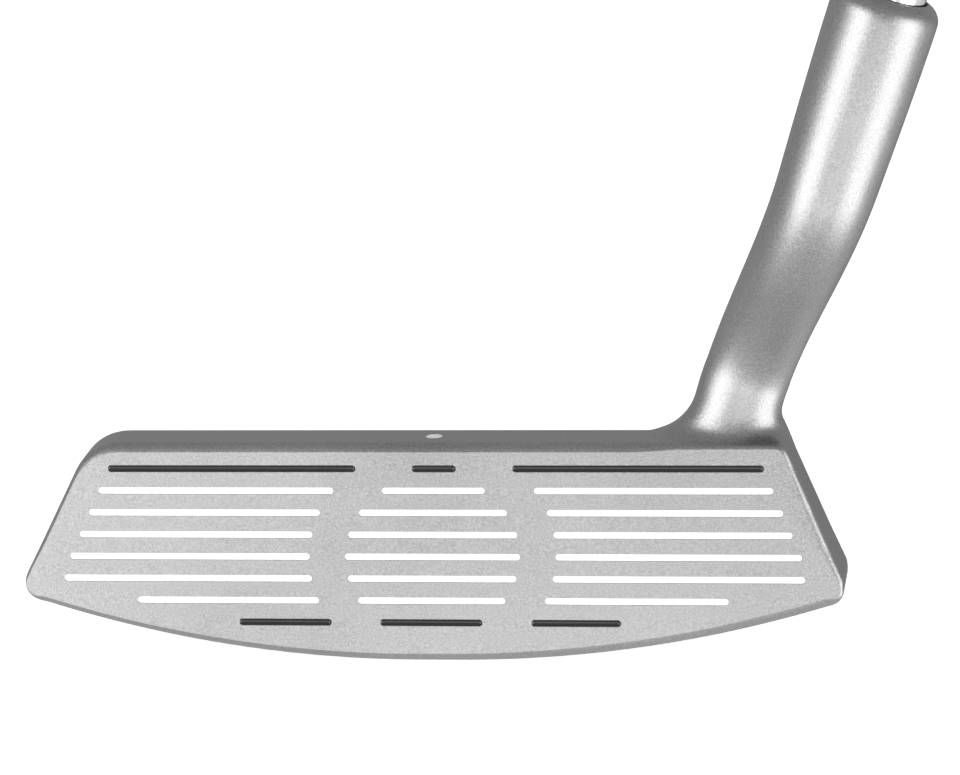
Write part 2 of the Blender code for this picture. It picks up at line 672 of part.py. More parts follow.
def make_dot(collection, material):
    place = Matrix.Translation((0.0, DOT_Y, BLADE_HEIGHT))
    radius = DOT_DIAMETER / 2 - FIT_GAP
    make_cylinder("alignment_dot", radius, FIT_GAP - DOT_DEPTH, -FILL_RECESS, place, collection, material)


# ---------------------------------------------------------------- shaft, bond and tape
def shaft_outer_profile():
    """(radius, reach) points up the outside of the shaft, with its steps."""
    tip = SHAFT_TIP_DIAMETER / 2
    butt = SHAFT_BUTT_DIAMETER / 2
    first = HOSEL_TOP_REACH + SHAFT_TIP_LENGTH
    last = GRIP_BOTTOM_REACH - LAST_STEP_MARGIN
    rise = (butt - tip) / SHAFT_STEPS
    points = [(tip, SHAFT_BOTTOM_REACH)]
    for step in range(SHAFT_STEPS):
        reach = first + (last - first) * step / (SHAFT_STEPS - 1)
        points.append((tip + rise * step, reach))
        points.append((tip + rise * (step + 1), reach + SHAFT_STEP_SLOPE))
    points.append((butt, SHAFT_TOP_REACH))
    return points


def make_shaft(collection, material):
    outer = shaft_outer_profile()
    inner_top = SHAFT_BUTT_DIAMETER / 2 - SHAFT_WALL
    inner_tip = SHAFT_TIP_DIAMETER / 2 - SHAFT_WALL
    profile = list(reversed(outer))
    profile.append((inner_tip, SHAFT_BOTTOM_REACH))
    profile.append((inner_tip, HOSEL_TOP_REACH + SHAFT_TIP_LENGTH))
    profile.append((inner_top, GRIP_BOTTOM_REACH))
    profile.append((inner_top, SHAFT_TOP_REACH))
    return turned_object("shaft", profile, collection, material, place_on_shaft(0.0))


def make_sleeve(name, inner, outer, bottom, top, collection, material):
    profile = [(outer, top), (outer, bottom), (inner, bottom), (inner, top)]
    return turned_object(name, profile, collection, material, place_on_shaft(0.0))


def make_bond(collection, material):
    inner = SHAFT_TIP_DIAMETER / 2 + FIT_GAP
    bottom = SHAFT_BOTTOM_REACH + BOND_BOTTOM_MARGIN
    top = HOSEL_TOP_REACH - BOND_TOP_MARGIN
    return make_sleeve("epoxy_bond", inner, inner + BOND_THICKNESS, bottom, top, collection, material)


def make_tape(collection, material):
    inner = SHAFT_BUTT_DIAMETER / 2 + FIT_GAP
    return make_sleeve(
        "grip_tape", inner, inner + TAPE_THICKNESS,
        GRIP_BOTTOM_REACH + TAPE_MARGIN, GRIP_TOP_REACH - TAPE_MARGIN, collection, material)


# ---------------------------------------------------------------- grip
def grip_ring(share, shrink=0.0, height=None):
    """The grip's outline at a share of its length, in the shaft's own frame.

    The thumb flat looks to -X there, and the pistol swell stands out to +X.
    """
    radius = GRIP_MOUTH_RADIUS + (GRIP_TOP_WIDTH / 2 - GRIP_MOUTH_RADIUS) * share
    swell = PISTOL_BULGE * smooth((share - SWELL_START) / (SWELL_FULL - SWELL_START))
    swell *= 1.0 - SWELL_TOP_LOSS * smooth((share - SWELL_FULL) / (1.0 - SWELL_FULL))
    flat = GRIP_FLAT_AT_MOUTH + (GRIP_FLAT_AT_TOP - GRIP_FLAT_AT_MOUTH) * share
    reach = share * GRIP_LENGTH if height is None else height
    points = []
    half_flat = math.acos(flat / radius) if flat < radius else 0.0
    round_points = RING_SEGMENTS - GRIP_FLAT_POINTS
    for index in range(GRIP_FLAT_POINTS):
        across = 1.0 - 2.0 * index / GRIP_FLAT_POINTS
        points.append((-flat, radius * math.sin(half_flat) * across))
    for index in range(round_points):
        angle = math.pi + half_flat + (math.tau - 2 * half_flat) * index / round_points
        depth = radius * math.cos(angle)
        if depth > 0.0:
            depth *= 1.0 + swell / radius
        points.append((depth, radius * math.sin(angle)))
    ring = []
    for depth, across in points:
        inwards = Vector((depth, across)).normalized() * shrink
        ring.append(Vector((depth - inwards.x, across - inwards.y, reach)))
    return ring


def bore_ring(height, radius):
    """A round ring that starts beside the first point of the grip's outline half-way up."""
    first = grip_ring(0.5)[0]
    start = math.atan2(first.y, first.x)
    points = []
    for index in range(RING_SEGMENTS):
        turn = start + math.tau * index / RING_SEGMENTS
        points.append(Vector((radius * math.cos(turn), radius * math.sin(turn), height)))
    return points


def make_grip(collection, material):
    edge_share = GRIP_EDGE_LENGTH / GRIP_LENGTH
    rings = [grip_ring(0.0, GRIP_EDGE_ROUND), grip_ring(edge_share)]
    rings += [grip_ring(share) for share in GRIP_SHARES]
    rings += [grip_ring(1.0 - edge_share), grip_ring(1.0, GRIP_EDGE_ROUND)]
    for height in (GRIP_LENGTH, GRIP_LENGTH / 2, 0.0):
        rings.append(bore_ring(height, GRIP_BORE_DIAMETER / 2))
    mesh = loft_mesh("grip", rings, closed_path=True)
    grip = add_object("grip", mesh, collection, material)
    grip.matrix_world = place_on_shaft(GRIP_BOTTOM_REACH)
    return grip


def make_cap(collection, material):
    low = GRIP_LENGTH + FIT_GAP
    high = GRIP_LENGTH + CAP_HEIGHT
    rings = [grip_ring(1.0, CAP_SHRINK + CAP_LOWER_CHAMFER, low)]
    rings.append(grip_ring(1.0, CAP_SHRINK, low + CAP_LOWER_CHAMFER))
    for step in range(ARC_STEPS + 1):
        angle = math.pi / 2 * step / ARC_STEPS
        shrink = CAP_SHRINK + CAP_EDGE_RADIUS * (1.0 - math.cos(angle))
        rings.append(grip_ring(1.0, shrink, high - CAP_EDGE_RADIUS * (1.0 - math.sin(angle))))
    for height in (high, low):
        rings.append(bore_ring(height, VENT_DIAMETER / 2))
    mesh = loft_mesh("grip_cap", rings, closed_path=True)
    cap = add_object("grip_cap", mesh, collection, material)
    cap.matrix_world = place_on_shaft(GRIP_BOTTOM_REACH)
    return cap


def main():
    clear_scene()
    parts = make_collection("blade_putter")
    cutters = make_collection("cutters")
    satin_steel = make_material("satin_steel", (0.56, 0.56, 0.56), 0.36, 1.0)
    white_enamel = make_material("white_enamel", (0.9, 0.9, 0.9), 0.3, 0.0)
    black_enamel = make_material("black_enamel", (0.02, 0.02, 0.02), 0.3, 0.0)
    chrome = make_material("chrome", (0.75, 0.75, 0.76), 0.08, 1.0)
    epoxy = make_material("epoxy", (0.35, 0.3, 0.2), 0.5, 0.0)
    tape = make_material("tape", (0.7, 0.66, 0.55), 0.8, 0.0)
    rubber = make_material("grip_rubber", (0.02, 0.02, 0.021), 0.7, 0.0)
    cap_plastic = make_material("cap_plastic", (0.03, 0.03, 0.03), 0.5, 0.0)
    make_head(parts, cutters, satin_steel)
    make_line_fills(parts, white_enamel, black_enamel)
    make_dot(parts, white_enamel)
    make_bond(parts, epoxy)
    make_shaft(parts, chrome)
    make_tape(parts, tape)
    make_grip(parts, rubber)
    make_cap(parts, cap_plastic)
    bpy.context.view_layer.update()


main()
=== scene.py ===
"""Blade putter: the finish of every piece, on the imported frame.

Metres, +Z up. The origin is the middle of the sole's flat, -Y is the way the face looks,
-X is the toe and +X the heel. The shaft leans to +X by 90 degrees less its lie.
"""

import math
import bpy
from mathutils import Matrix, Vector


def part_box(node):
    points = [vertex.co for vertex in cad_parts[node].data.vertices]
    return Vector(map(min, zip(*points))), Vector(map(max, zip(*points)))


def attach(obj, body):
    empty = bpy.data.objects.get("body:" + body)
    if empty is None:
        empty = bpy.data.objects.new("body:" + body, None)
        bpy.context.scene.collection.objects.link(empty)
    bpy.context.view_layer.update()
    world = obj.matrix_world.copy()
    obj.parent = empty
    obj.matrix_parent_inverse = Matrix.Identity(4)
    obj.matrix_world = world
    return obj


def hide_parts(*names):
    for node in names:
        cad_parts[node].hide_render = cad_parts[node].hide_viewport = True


bl_info = {
    "name": "Blade Putter",
    "version": (1, 0, 0),
    "blender": (4, 5, 0),
    "location": "View3D > Sidebar > Putter",
    "description": "Builds a cast blade putter with enamelled face lines, shaft and grip",
    "category": "Add Mesh",
}

import bmesh
import bpy
from mathutils import Matrix, Vector

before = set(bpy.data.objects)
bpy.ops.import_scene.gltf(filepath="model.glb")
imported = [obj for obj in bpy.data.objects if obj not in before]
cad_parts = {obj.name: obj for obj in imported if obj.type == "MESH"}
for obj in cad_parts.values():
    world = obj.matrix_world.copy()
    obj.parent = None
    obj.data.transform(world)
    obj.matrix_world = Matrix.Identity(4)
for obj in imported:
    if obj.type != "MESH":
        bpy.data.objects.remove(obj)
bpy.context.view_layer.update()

MM = 0.001
BODY = "root"
HEAD_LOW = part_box("head_casting")[0]

# ---- fits between pieces
FIT_GAP = 0.08 * MM              # between a fill and its slot in the frame
FILL_RECESS = 0.05 * MM          # the frame's fills stand this far below the surface
LINE_DEPTH = 0.5 * MM
DOT_DEPTH = 0.6 * MM
CUT_CLEARANCE = 1.0 * MM         # a cutter stands this far out of the surface that it cuts

# ---- blade
END_ARC_CUT = math.radians(14.0)  # the blade's tips end in a small flat, this far round
LOWER_CORNER_RADIUS = 3.0 * MM
TIP_LOSS = LOWER_CORNER_RADIUS * (1.0 - math.cos(END_ARC_CUT))
TOE_REACH = TIP_LOSS - HEAD_LOW.x
HEEL_REACH = 54.7 * MM
BLADE_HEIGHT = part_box("alignment_dot")[1].z + FILL_RECESS
TOPLINE_THICKNESS = 8.5 * MM
LEADING_EDGE_Y = -9.0 * MM       # the face plane where it reaches the ground
BACK_DRAFT = math.radians(3.0)
TOE_SLANT = math.radians(27.2)
HEEL_SLANT = math.radians(22.0)
SOLE_FLAT = 5.0 * MM
SOLE_RADIUS = 168.0 * MM
TOE_TOP_RADIUS = 7.0 * MM
HEEL_TOP_RADIUS = 1.5 * MM
TOP_FRONT_ROUND = 1.5 * MM       # depth of the topline's front round, at the face
TOP_FRONT_DROP = 1.0 * MM        # height of the same round
TOP_BACK_RADIUS = 1.5 * MM
LEADING_RADIUS = 2.3 * MM
STOCK_TOP = 0.3 * MM             # metal in front of the face before it is milled, at the top
STOCK_TOE = 0.36 * MM            # the same at the toe's leading edge
STOCK_HEEL = 0.16 * MM           # the same at the heel's leading edge
LEDGE_ROUND = 1.3 * MM           # the same two sizes in front of the neck, where it is softer
LEDGE_DROP = 0.45 * MM
LEDGE_STOCK = 0.06 * MM          # metal in front of the face there
LEDGE_START = 26.0 * MM          # from the middle of the face, where it begins to soften
LEDGE_BLEND = 10.0 * MM
HEEL_SIDE_ROUND = 1.0 * MM       # depth of the soft round down the heel side, at the face
HEEL_SIDE_DROP = 1.8 * MM        # height of the same round, measured straight up
HEEL_SIDE_STOCK = 0.04 * MM      # metal in front of the face along that side
HEEL_SIDE_BLEND = 5.0 * MM       # length over which the topline's round softens into it
FULL_ROUND_HEIGHT = 9.0 * MM     # where the blade is lower than this, its edge rounds shrink

# ---- flange behind the blade
FLANGE_DEPTH = 11.0 * MM
FLANGE_HEIGHT = 9.0 * MM
FLANGE_LIP_RADIUS = 2.2 * MM
FLANGE_SOLE_RADIUS = 3.0 * MM
FLANGE_LEAST_ROUND = 0.1 * MM
CAVITY_RADIUS = 6.0 * MM
FLANGE_END_INSET = 5.3 * MM
FULL_FLANGE_BLADE = 22.0 * MM
ROUND_LIMIT = 0.8

# ---- neck and hosel
SHAFT_AXIS_Y = -13.0 * MM
HOSEL_RISE = 61.0 * MM           # topline to the top of the hosel
HOSEL_DIAMETER = 14.1 * MM
HOSEL_SHOULDER_RADIUS = 2.4 * MM
NECK_HEEL_INSET = 7.86 * MM
NECK_WIDTH = 11.5 * MM
NECK_DEPTH = 9.2 * MM
NECK_FRONT_SHARE = 0.45
NECK_LEDGE = 2.2 * MM
NECK_SIDE_SHIFT = 2.3 * MM
FLARE_FRONT_BACK = 0.12
FLARE_HEEL = 0.2
FLARE_SUNK = 0.6
NECK_BEND_START = 6.5 * MM
NECK_BEND_END = 36.5 * MM
NECK_ROUND_SHARE = 0.7
NECK_TURN_LENGTH = 4.0 * MM
NECK_ROOT_DEPTH = 13.0 * MM
NECK_ROOT_END = 15.0 * MM
NECK_ROOT_SINK = 1.0 * MM
NECK_PROUD = 0.25 * MM
NECK_HEEL_BLEND = 2.0 * MM
NECK_STRIDE = 0.5 * MM
SUNK_LEAST = 0.05 * MM
BORE_DIAMETER = 10.02 * MM
BORE_DEPTH = 25.5 * MM
JUNCTION_REACH = 13.0 * MM       # the cast fillet is filled in this far round the neck's foot
JUNCTION_ROUNDS = 70             # passes of filling, each a little rounder

# ---- milling cutter
MILL_OVERRUN = 20.0 * MM         # how much longer than the blade it is
MILL_ABOVE = 3.0 * MM            # how far it stands above the topline
MILL_HEIGHT = BLADE_HEIGHT + 8.0 * MM
MILL_DEPTH = 10.0 * MM

# ---- fineness of the head
RING_SEGMENTS = 64
ARC_STEPS = 10
TOP_SPANS = 26
SIDE_SPANS = 14
ROOT_RINGS = 16
FILLET_RINGS = 14
NECK_SPANS = 60
SKIN_SIZE = 0.36 * MM            # size of the casting's faces
SKIN_PASSES = 3                  # smoothing passes over the whole casting
FACE_CREASE = math.radians(8.0)
CUT_CREASE = math.radians(42.0)
ROUND_CREASE = math.radians(40.0)
GRIP_CREASE = math.radians(60.0)
MILLED_COSINE = math.cos(FACE_CREASE / 8)  # faces this near the face's own angle were milled
QUARTER = [math.pi / 2 * step / ARC_STEPS for step in range(ARC_STEPS + 1)]
SLOT_SEGMENTS = 24
SMOOTH_SHARE = 0.5               # how far one smoothing pass moves a vertex
HOLLOW_RINGS = (0.15, 0.35, 0.6, 0.85)  # where a fill's rings stand, from its edge to its middle
TURNED_WELD = 0.001 * MM
HEAD_WELD = 0.002 * MM

# ---- shaft
SHAFT_WALL = 0.6 * MM
SHAFT_TIP_LENGTH = 200.0 * MM
SHAFT_STEPS = 9
STEP_SLOPE = 1.2 * MM
STEP_ROUND = 0.25 * MM
STEP_EASE = 0.1                  # share of a step's rise taken by each of its rounds
LAST_STEP_MARGIN = 20.0 * MM
SHAFT_BOTTOM_MARGIN = 0.5 * MM
SHAFT_TOP_MARGIN = 2.0 * MM
SHAFT_SEGMENTS = 96

# ---- grip and cap
CLUB_LENGTH = 863.6 * MM
GRIP_LENGTH = 265.0 * MM
GRIP_BORE_DIAMETER = 15.68 * MM
GRIP_WALL = 1.91 * MM
GRIP_FLAT_WALL = 1.26 * MM
GRIP_TOP_WIDTH = 27.0 * MM
GRIP_FLAT_AT_TOP = 11.6 * MM
GRIP_EDGE_ROUND = 0.6 * MM
GRIP_EDGE_LENGTH = 1.6 * MM
PISTOL_BULGE = 5.5 * MM
SWELL_START = 0.45
SWELL_FULL = 0.85
SWELL_TOP_LOSS = 0.45
GRIP_SKIN = 0.03 * MM            # the fine outline stays this far inside the frame's
CAP_HEIGHT = 4.5 * MM
CAP_SHRINK = 0.3 * MM
CAP_LOWER_CHAMFER = 0.6 * MM
CAP_EDGE_RADIUS = 1.6 * MM
CAP_RIM = 4.0 * MM               # from the cap's outline in to its dish
CAP_DISH = 0.5 * MM
CAP_DISH_TAPER = 0.96
VENT_DIAMETER = 3.0 * MM
GRIP_SEGMENTS = 168
FLAT_SEGMENTS = 32
GRIP_RINGS = 440
GRIP_EDGE_STEPS = 4
PATTERN_START = 9.0 * MM         # plain rubber at the mouth
PATTERN_END = 12.0 * MM          # plain rubber below the cap
PATTERN_FADE = 3.0 * MM
FLAT_PATTERN_FADE = 0.35         # share of the thumb flat's half width
SIDE_PATTERN_FADE = 0.06         # share of the way round the grip's sides
MOUTH_RIBS = 2
MOUTH_RIB_PITCH = 2.6 * MM

# ---- finishes
# Roughness, metallic, grain (see make_material), bump height and coat weight.
FINISHES = {
    "satin_steel": (0.4, 1.0, (4000.0, 45.0, 0.9, 0.35), 0.028 * MM, 0.0),
    "white_enamel": (0.32, 0.0, (900.0, 200.0, 0.03, 0.2), 0.003 * MM, 0.3),
    "black_enamel": (0.16, 0.0, (700.0, 250.0, 0.3, 0.35), 0.006 * MM, 0.0),
    "chrome_plate": (0.09, 1.0, (400.0, 30.0, 0.03, 0.5), 0.001 * MM, 0.0),
    "grip_rubber": (0.62, 0.0, (1500.0, 70.0, 0.35, 0.2), 0.03 * MM, 0.0),
    "cap_plastic": (0.42, 0.0, (1800.0, 90.0, 0.2, 0.2), 0.01 * MM, 0.0),
    "cured_epoxy": (0.35, 0.0, (800.0, 120.0, 0.3, 0.3), 0.01 * MM, 0.2),
    "paper_tape": (0.85, 0.0, (1200.0, 90.0, 0.25, 0.15), 0.03 * MM, 0.0),
}
EPOXY_COLOUR = (0.38, 0.31, 0.17)
TAPE_COLOUR = (0.68, 0.62, 0.5)
COAT_ROUGHNESS = 0.15
GRAIN_DETAIL = 3.0
CLOUD_DETAIL = 4.0
CLOUD_IN_TONE = 0.3              # the broad clouds' part in the tone, next to the grain

# ---- stage
FLOOR_HALF_SIZE = 60.0
FLOOR_DROP = 0.05 * MM
FLOOR_ROUGHNESS = 0.9
FLOOR_SPECULAR = 0.1
FLOOR_GLOW = 0.72                # added where the camera sees the floor
# Azimuth and elevation in degrees, then distance, width and height in metres.
SOFTBOXES = {
    "key_softbox": (-44.0, 2.0, 1.2, 0.9, 1.3),
    "fill_softbox": (62.0, -16.0, 1.2, 1.1, 1.45),
    "front_panel": (4.0, -24.0, 1.2, 0.7, 0.5),
}
# A direction, where along it the brightness starts and stops changing, and from what to what.
SKY = ((0.0, 0.5, 1.0), -0.7, 0.25, 0.9, 0.52)
DARK_CARD = ((0.0, 0.95, -0.3), 0.82, 0.96, 1.0, 0.4)
SENSOR_WIDTH = 36.0              # millimetres, as the lens is
FAR_CLIP = 200.0
AIM_SHARE = 0.49                 # of the blade's height, where the aim is measured from
AIM_ACROSS = 6.23 * MM
AIM_UP = 22.61 * MM

# ---- worked-out places
LIE = math.radians(71.4)
LEAN = math.pi / 2 - LIE
LOFT = math.radians(4.0)
SHAFT_DIRECTION = Vector((math.sin(LEAN), 0.0, math.cos(LEAN)))
HOSEL_TOP_Z = BLADE_HEIGHT + HOSEL_RISE
HOSEL_TOP_REACH = HOSEL_TOP_Z / math.cos(LEAN)
GRIP_TOP_REACH = CLUB_LENGTH - CAP_HEIGHT
GRIP_BOTTOM_REACH = GRIP_TOP_REACH - GRIP_LENGTH
FACE_NORMAL = Vector((0.0, -math.cos(LOFT), math.sin(LOFT)))
FACE_UP = Vector((0.0, math.sin(LOFT), math.cos(LOFT)))
LINE_NODES = sorted(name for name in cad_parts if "_line_" in name)


def smooth(value):
    """Ease from 0 to 1 as value goes from 0 to 1."""
    value = min(max(value, 0.0), 1.0)
    return value * value * (3.0 - 2.0 * value)


def blend(low, high, share):
    return low + (high - low) * share


def arc(centre, radius, start, end, steps):
    """Points on a round from one angle to another, both ends included."""
    points = []
    for step in range(steps + 1):
        angle = blend(start, end, step / steps)
        points.append((centre[0] + radius * math.cos(angle), centre[1] + radius * math.sin(angle)))
    return points


# ---- mesh helpers
def ring_edges(ring, edge_of):
    """The edges round a ring of vertices; edge_of finds or makes the edge of a pair."""
    return [edge_of((vert, ring[(index + 1) % len(ring)])) for index, vert in enumerate(ring)]


def extrude_ring(shape, ring, points):
    """Extrude a ring of vertices and put the new ring on the given points."""
    edges = ring_edges(ring, shape.edges.get)
    made = set(bmesh.ops.extrude_edge_only(shape, edges=edges)["geom"])
    following = []
    for vert, point in zip(ring, points):
        others = (edge.other_vert(vert) for edge in vert.link_edges)
        twin = next(other for other in others if other in made)
        twin.co = point
        following.append(twin)
    return following


def loft(shape, sections, closed=False):
    """Extrude the first section's ring through the others, then cap it or join it up."""
    first = [shape.verts.new(point) for point in sections[0]]
    first_edges = ring_edges(first, shape.edges.new)
    ring = first
    for section in sections[1:]:
        ring = extrude_ring(shape, ring, section)
    last_edges = ring_edges(ring, shape.edges.get)
    if closed:
        bmesh.ops.bridge_loops(shape, edges=first_edges + last_edges)
    else:
        bmesh.ops.edgeloop_fill(shape, edges=first_edges)
        bmesh.ops.edgeloop_fill(shape, edges=last_edges)
    bmesh.ops.recalc_face_normals(shape, faces=shape.faces)


def turned(shape, profile, segments):
    """Spin a closed profile of (radius, height) points round Z."""
    verts = [shape.verts.new((radius, 0.0, height)) for radius, height in profile]
    edges = ring_edges(verts, shape.edges.new)
    bmesh.ops.spin(
        shape, geom=verts + edges, cent=(0.0, 0.0, 0.0), axis=(0.0, 0.0, 1.0),
        angle=math.tau, steps=segments, use_merge=True)
    bmesh.ops.remove_doubles(shape, verts=shape.verts, dist=TURNED_WELD)
    bmesh.ops.recalc_face_normals(shape, faces=shape.faces)


def slot_face(shape, width, start, end, height):
    """A round-ended face from start to end along X, at a height on Z."""
    half_step = math.pi / SLOT_SEGMENTS
    made = bmesh.ops.create_circle(
        shape, cap_ends=True, segments=SLOT_SEGMENTS, radius=width / 2 / math.cos(half_step),
        matrix=Matrix.Translation((0.0, 0.0, height)) @ Matrix.Rotation(half_step, 4, "Z"))
    shift = max((end - start - width) / 2, 0.0)
    for vert in made["verts"]:
        vert.co.x += (start + end) / 2 + math.copysign(shift, vert.co.x)
    return next(face for face in made["verts"][0].link_faces)


def push_face(shape, face, distance):
    """Extrude a face along Z, and return the face that moved. A lone face stays as the floor."""
    has_walls = all(len(edge.link_faces) > 1 for edge in face.edges)
    made = bmesh.ops.extrude_face_region(shape, geom=[face])["geom"]
    if has_walls:
        bmesh.ops.delete(shape, geom=[face], context="FACES_ONLY")
    moved = [item for item in made if isinstance(item, bmesh.types.BMVert)]
    bmesh.ops.translate(shape, verts=moved, vec=(0.0, 0.0, distance))
    return next(item for item in made if isinstance(item, bmesh.types.BMFace))


def narrow_face(shape, face, inset, distance):
    """Inset a face, and move what is left of it along Z."""
    bmesh.ops.inset_region(shape, faces=[face], thickness=inset, use_even_offset=True)
    bmesh.ops.translate(shape, verts=list(face.verts), vec=(0.0, 0.0, distance))
    return face


def mesh_from(name, shape):
    mesh = bpy.data.meshes.new(name)
    shape.to_mesh(mesh)
    shape.free()
    return mesh


def helper_object(name, shape):
    """A plain object for a modifier to work with, taken away again afterwards."""
    obj = bpy.data.objects.new(name, mesh_from(name, shape))
    bpy.context.scene.collection.objects.link(obj)
    return obj


def remove_object(obj):
    mesh = obj.data
    bpy.data.objects.remove(obj, do_unlink=True)
    bpy.data.meshes.remove(mesh)


def apply_modifiers(obj):
    """Give an object the mesh that its modifiers make, and drop them."""
    bpy.context.view_layer.update()
    evaluated = obj.evaluated_get(bpy.context.evaluated_depsgraph_get())
    result = bpy.data.meshes.new_from_object(evaluated)
    obj.modifiers.clear()
    before = obj.data
    obj.data = result
    bpy.data.meshes.remove(before)


def combine(obj, other, operation):
    """A Boolean of two objects, applied; the other one is used up."""
    modifier = obj.modifiers.new(operation, "BOOLEAN")
    modifier.operation = operation
    modifier.solver = "EXACT"
    modifier.object = other
    apply_modifiers(obj)
    remove_object(other)


def finish_piece(name, mesh, material, nodes):
    """Show a mesh as a piece that rides on the body and stands for its CAD nodes."""
    if not mesh.polygons:
        raise RuntimeError(f"{name} has no faces")
    mesh.materials.clear()
    mesh.materials.append(material)
    obj = bpy.data.objects.new(name, mesh)
    bpy.context.scene.collection.objects.link(obj)
    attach(obj, BODY)
    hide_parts(*nodes)
    return obj


def relax(shape, verts):
    """One smoothing pass."""
    bmesh.ops.smooth_vert(
        shape, verts=verts, factor=SMOOTH_SHARE, use_axis_x=True, use_axis_y=True, use_axis_z=True)


def placed_mesh(name, shape, placement, crease=ROUND_CREASE):
    """Place a shape and turn it into a smooth mesh, sharp where it bends more than the crease."""
    bmesh.ops.transform(shape, matrix=placement, verts=shape.verts)
    mesh = mesh_from(name, shape)
    mesh.shade_smooth()
    mesh.set_sharp_from_angle(angle=crease)
    return mesh


# ---- blade shape
def end_outline(reach, slant, top_radius):
    """One end of the blade's outline, measured outwards from the middle of the face."""
    corner_x = reach - LOWER_CORNER_RADIUS
    inner = SOLE_RADIUS - LOWER_CORNER_RADIUS
    corner_z = SOLE_RADIUS - math.sqrt(inner ** 2 - (corner_x - SOLE_FLAT / 2) ** 2)
    side_x = corner_x + LOWER_CORNER_RADIUS * math.cos(slant)
    side_z = corner_z + LOWER_CORNER_RADIUS * math.sin(slant)
    top_z = BLADE_HEIGHT - top_radius
    top_x = side_x - (top_radius + math.sin(slant) * (top_z - side_z)) / math.cos(slant)
    return {
        "corner": (corner_x, corner_z),
        "side": (side_x, side_z),
        "top": (top_x, top_z),
        "slant": slant,
        "top_radius": top_radius,
    }


TOE_END = end_outline(TOE_REACH, TOE_SLANT, TOE_TOP_RADIUS)
HEEL_END = end_outline(HEEL_REACH, HEEL_SLANT, HEEL_TOP_RADIUS)


def end_at(x):
    return HEEL_END if x > 0.0 else TOE_END


def sole_height(x):
    """Height of the sole's underside at x."""
    distance = abs(x)
    half_flat = SOLE_FLAT / 2
    corner_x, corner_z = end_at(x)["corner"]
    share = SOLE_RADIUS / (SOLE_RADIUS - LOWER_CORNER_RADIUS)
    if distance <= half_flat:
        return 0.0
    if distance <= half_flat + (corner_x - half_flat) * share:
        return SOLE_RADIUS - math.sqrt(SOLE_RADIUS ** 2 - (distance - half_flat) ** 2)
    return corner_z - math.sqrt(max(LOWER_CORNER_RADIUS ** 2 - (distance - corner_x) ** 2, 0.0))


def top_height(x):
    """Height of the blade's top or sloping side at x."""
    end = end_at(x)
    distance = abs(x)
    top_x, top_z = end["top"]
    side_x, side_z = end["side"]
    corner_x, corner_z = end["corner"]
    radius = end["top_radius"]
    if distance <= top_x:
        return BLADE_HEIGHT
    if distance <= top_x + radius * math.cos(end["slant"]):
        return top_z + math.sqrt(radius ** 2 - (distance - top_x) ** 2)
    if distance <= side_x:
        return side_z + (side_x - distance) / math.tan(end["slant"])
    return corner_z + math.sqrt(max(LOWER_CORNER_RADIUS ** 2 - (distance - corner_x) ** 2, 0.0))


def side_reach(end, z):
    """How far out the sloping side is at height z."""
    side_x, side_z = end["side"]
    return side_x - (z - side_z) * math.tan(end["slant"])


def face_y(z):
    return LEADING_EDGE_Y + z * math.tan(LOFT)


BACK_TOP_Y = face_y(BLADE_HEIGHT - TOP_FRONT_DROP) + TOPLINE_THICKNESS
DOT_Y = (face_y(BLADE_HEIGHT - TOP_FRONT_DROP) + BACK_TOP_Y) / 2
SHAFT_AXIS_X = (
    side_reach(HEEL_END, BLADE_HEIGHT) - NECK_HEEL_INSET + NECK_SIDE_SHIFT
    - BLADE_HEIGHT * math.tan(LEAN)
)
SHAFT_FOOT = Vector((SHAFT_AXIS_X, SHAFT_AXIS_Y, 0.0))


def place_on_shaft(reach):
    """A matrix that stands +Z along the shaft, its origin this far up from the ground."""
    turn = Matrix.Rotation(LEAN, 4, "Y")
    return Matrix.Translation(SHAFT_FOOT + SHAFT_DIRECTION * reach) @ turn


def place_on_face(z):
    """A matrix that lays X along the blade and Z out of the face, at height z on it."""
    axes = Matrix((Vector((1.0, 0.0, 0.0)), FACE_UP, FACE_NORMAL)).transposed()
    return Matrix.Translation((0.0, face_y(z), z)) @ axes.to_4x4()


def back_y(z):
    return BACK_TOP_Y + (BLADE_HEIGHT - z) * math.tan(BACK_DRAFT)


def end_stations(end):
    """Distances from the middle of the face for the sections at one end."""
    top_arc = arc(end["top"], end["top_radius"], math.pi / 2, end["slant"], ARC_STEPS)
    corner_arc = arc(end["corner"], LOWER_CORNER_RADIUS, end["slant"], END_ARC_CUT, ARC_STEPS)
    top_x = end["top"][0]
    distances = [blend(SOLE_FLAT / 2, top_x, index / TOP_SPANS) for index in range(TOP_SPANS + 1)]
    distances += [point[0] for point in top_arc[1:]]
    side_start = distances[-1]
    for index in range(1, SIDE_SPANS + 1):
        distances.append(blend(side_start, end["side"][0], index / SIDE_SPANS))
    return distances + [point[0] for point in corner_arc[1:]]


def flange_share(x):
    """1 in the middle of the flange and 0 at its rounded ends."""
    tip = HEEL_REACH if x > 0.0 else TOE_REACH
    along = min(abs(x) / (tip - FLANGE_END_INSET), 1.0)
    return math.sqrt(1.0 - along ** 4)


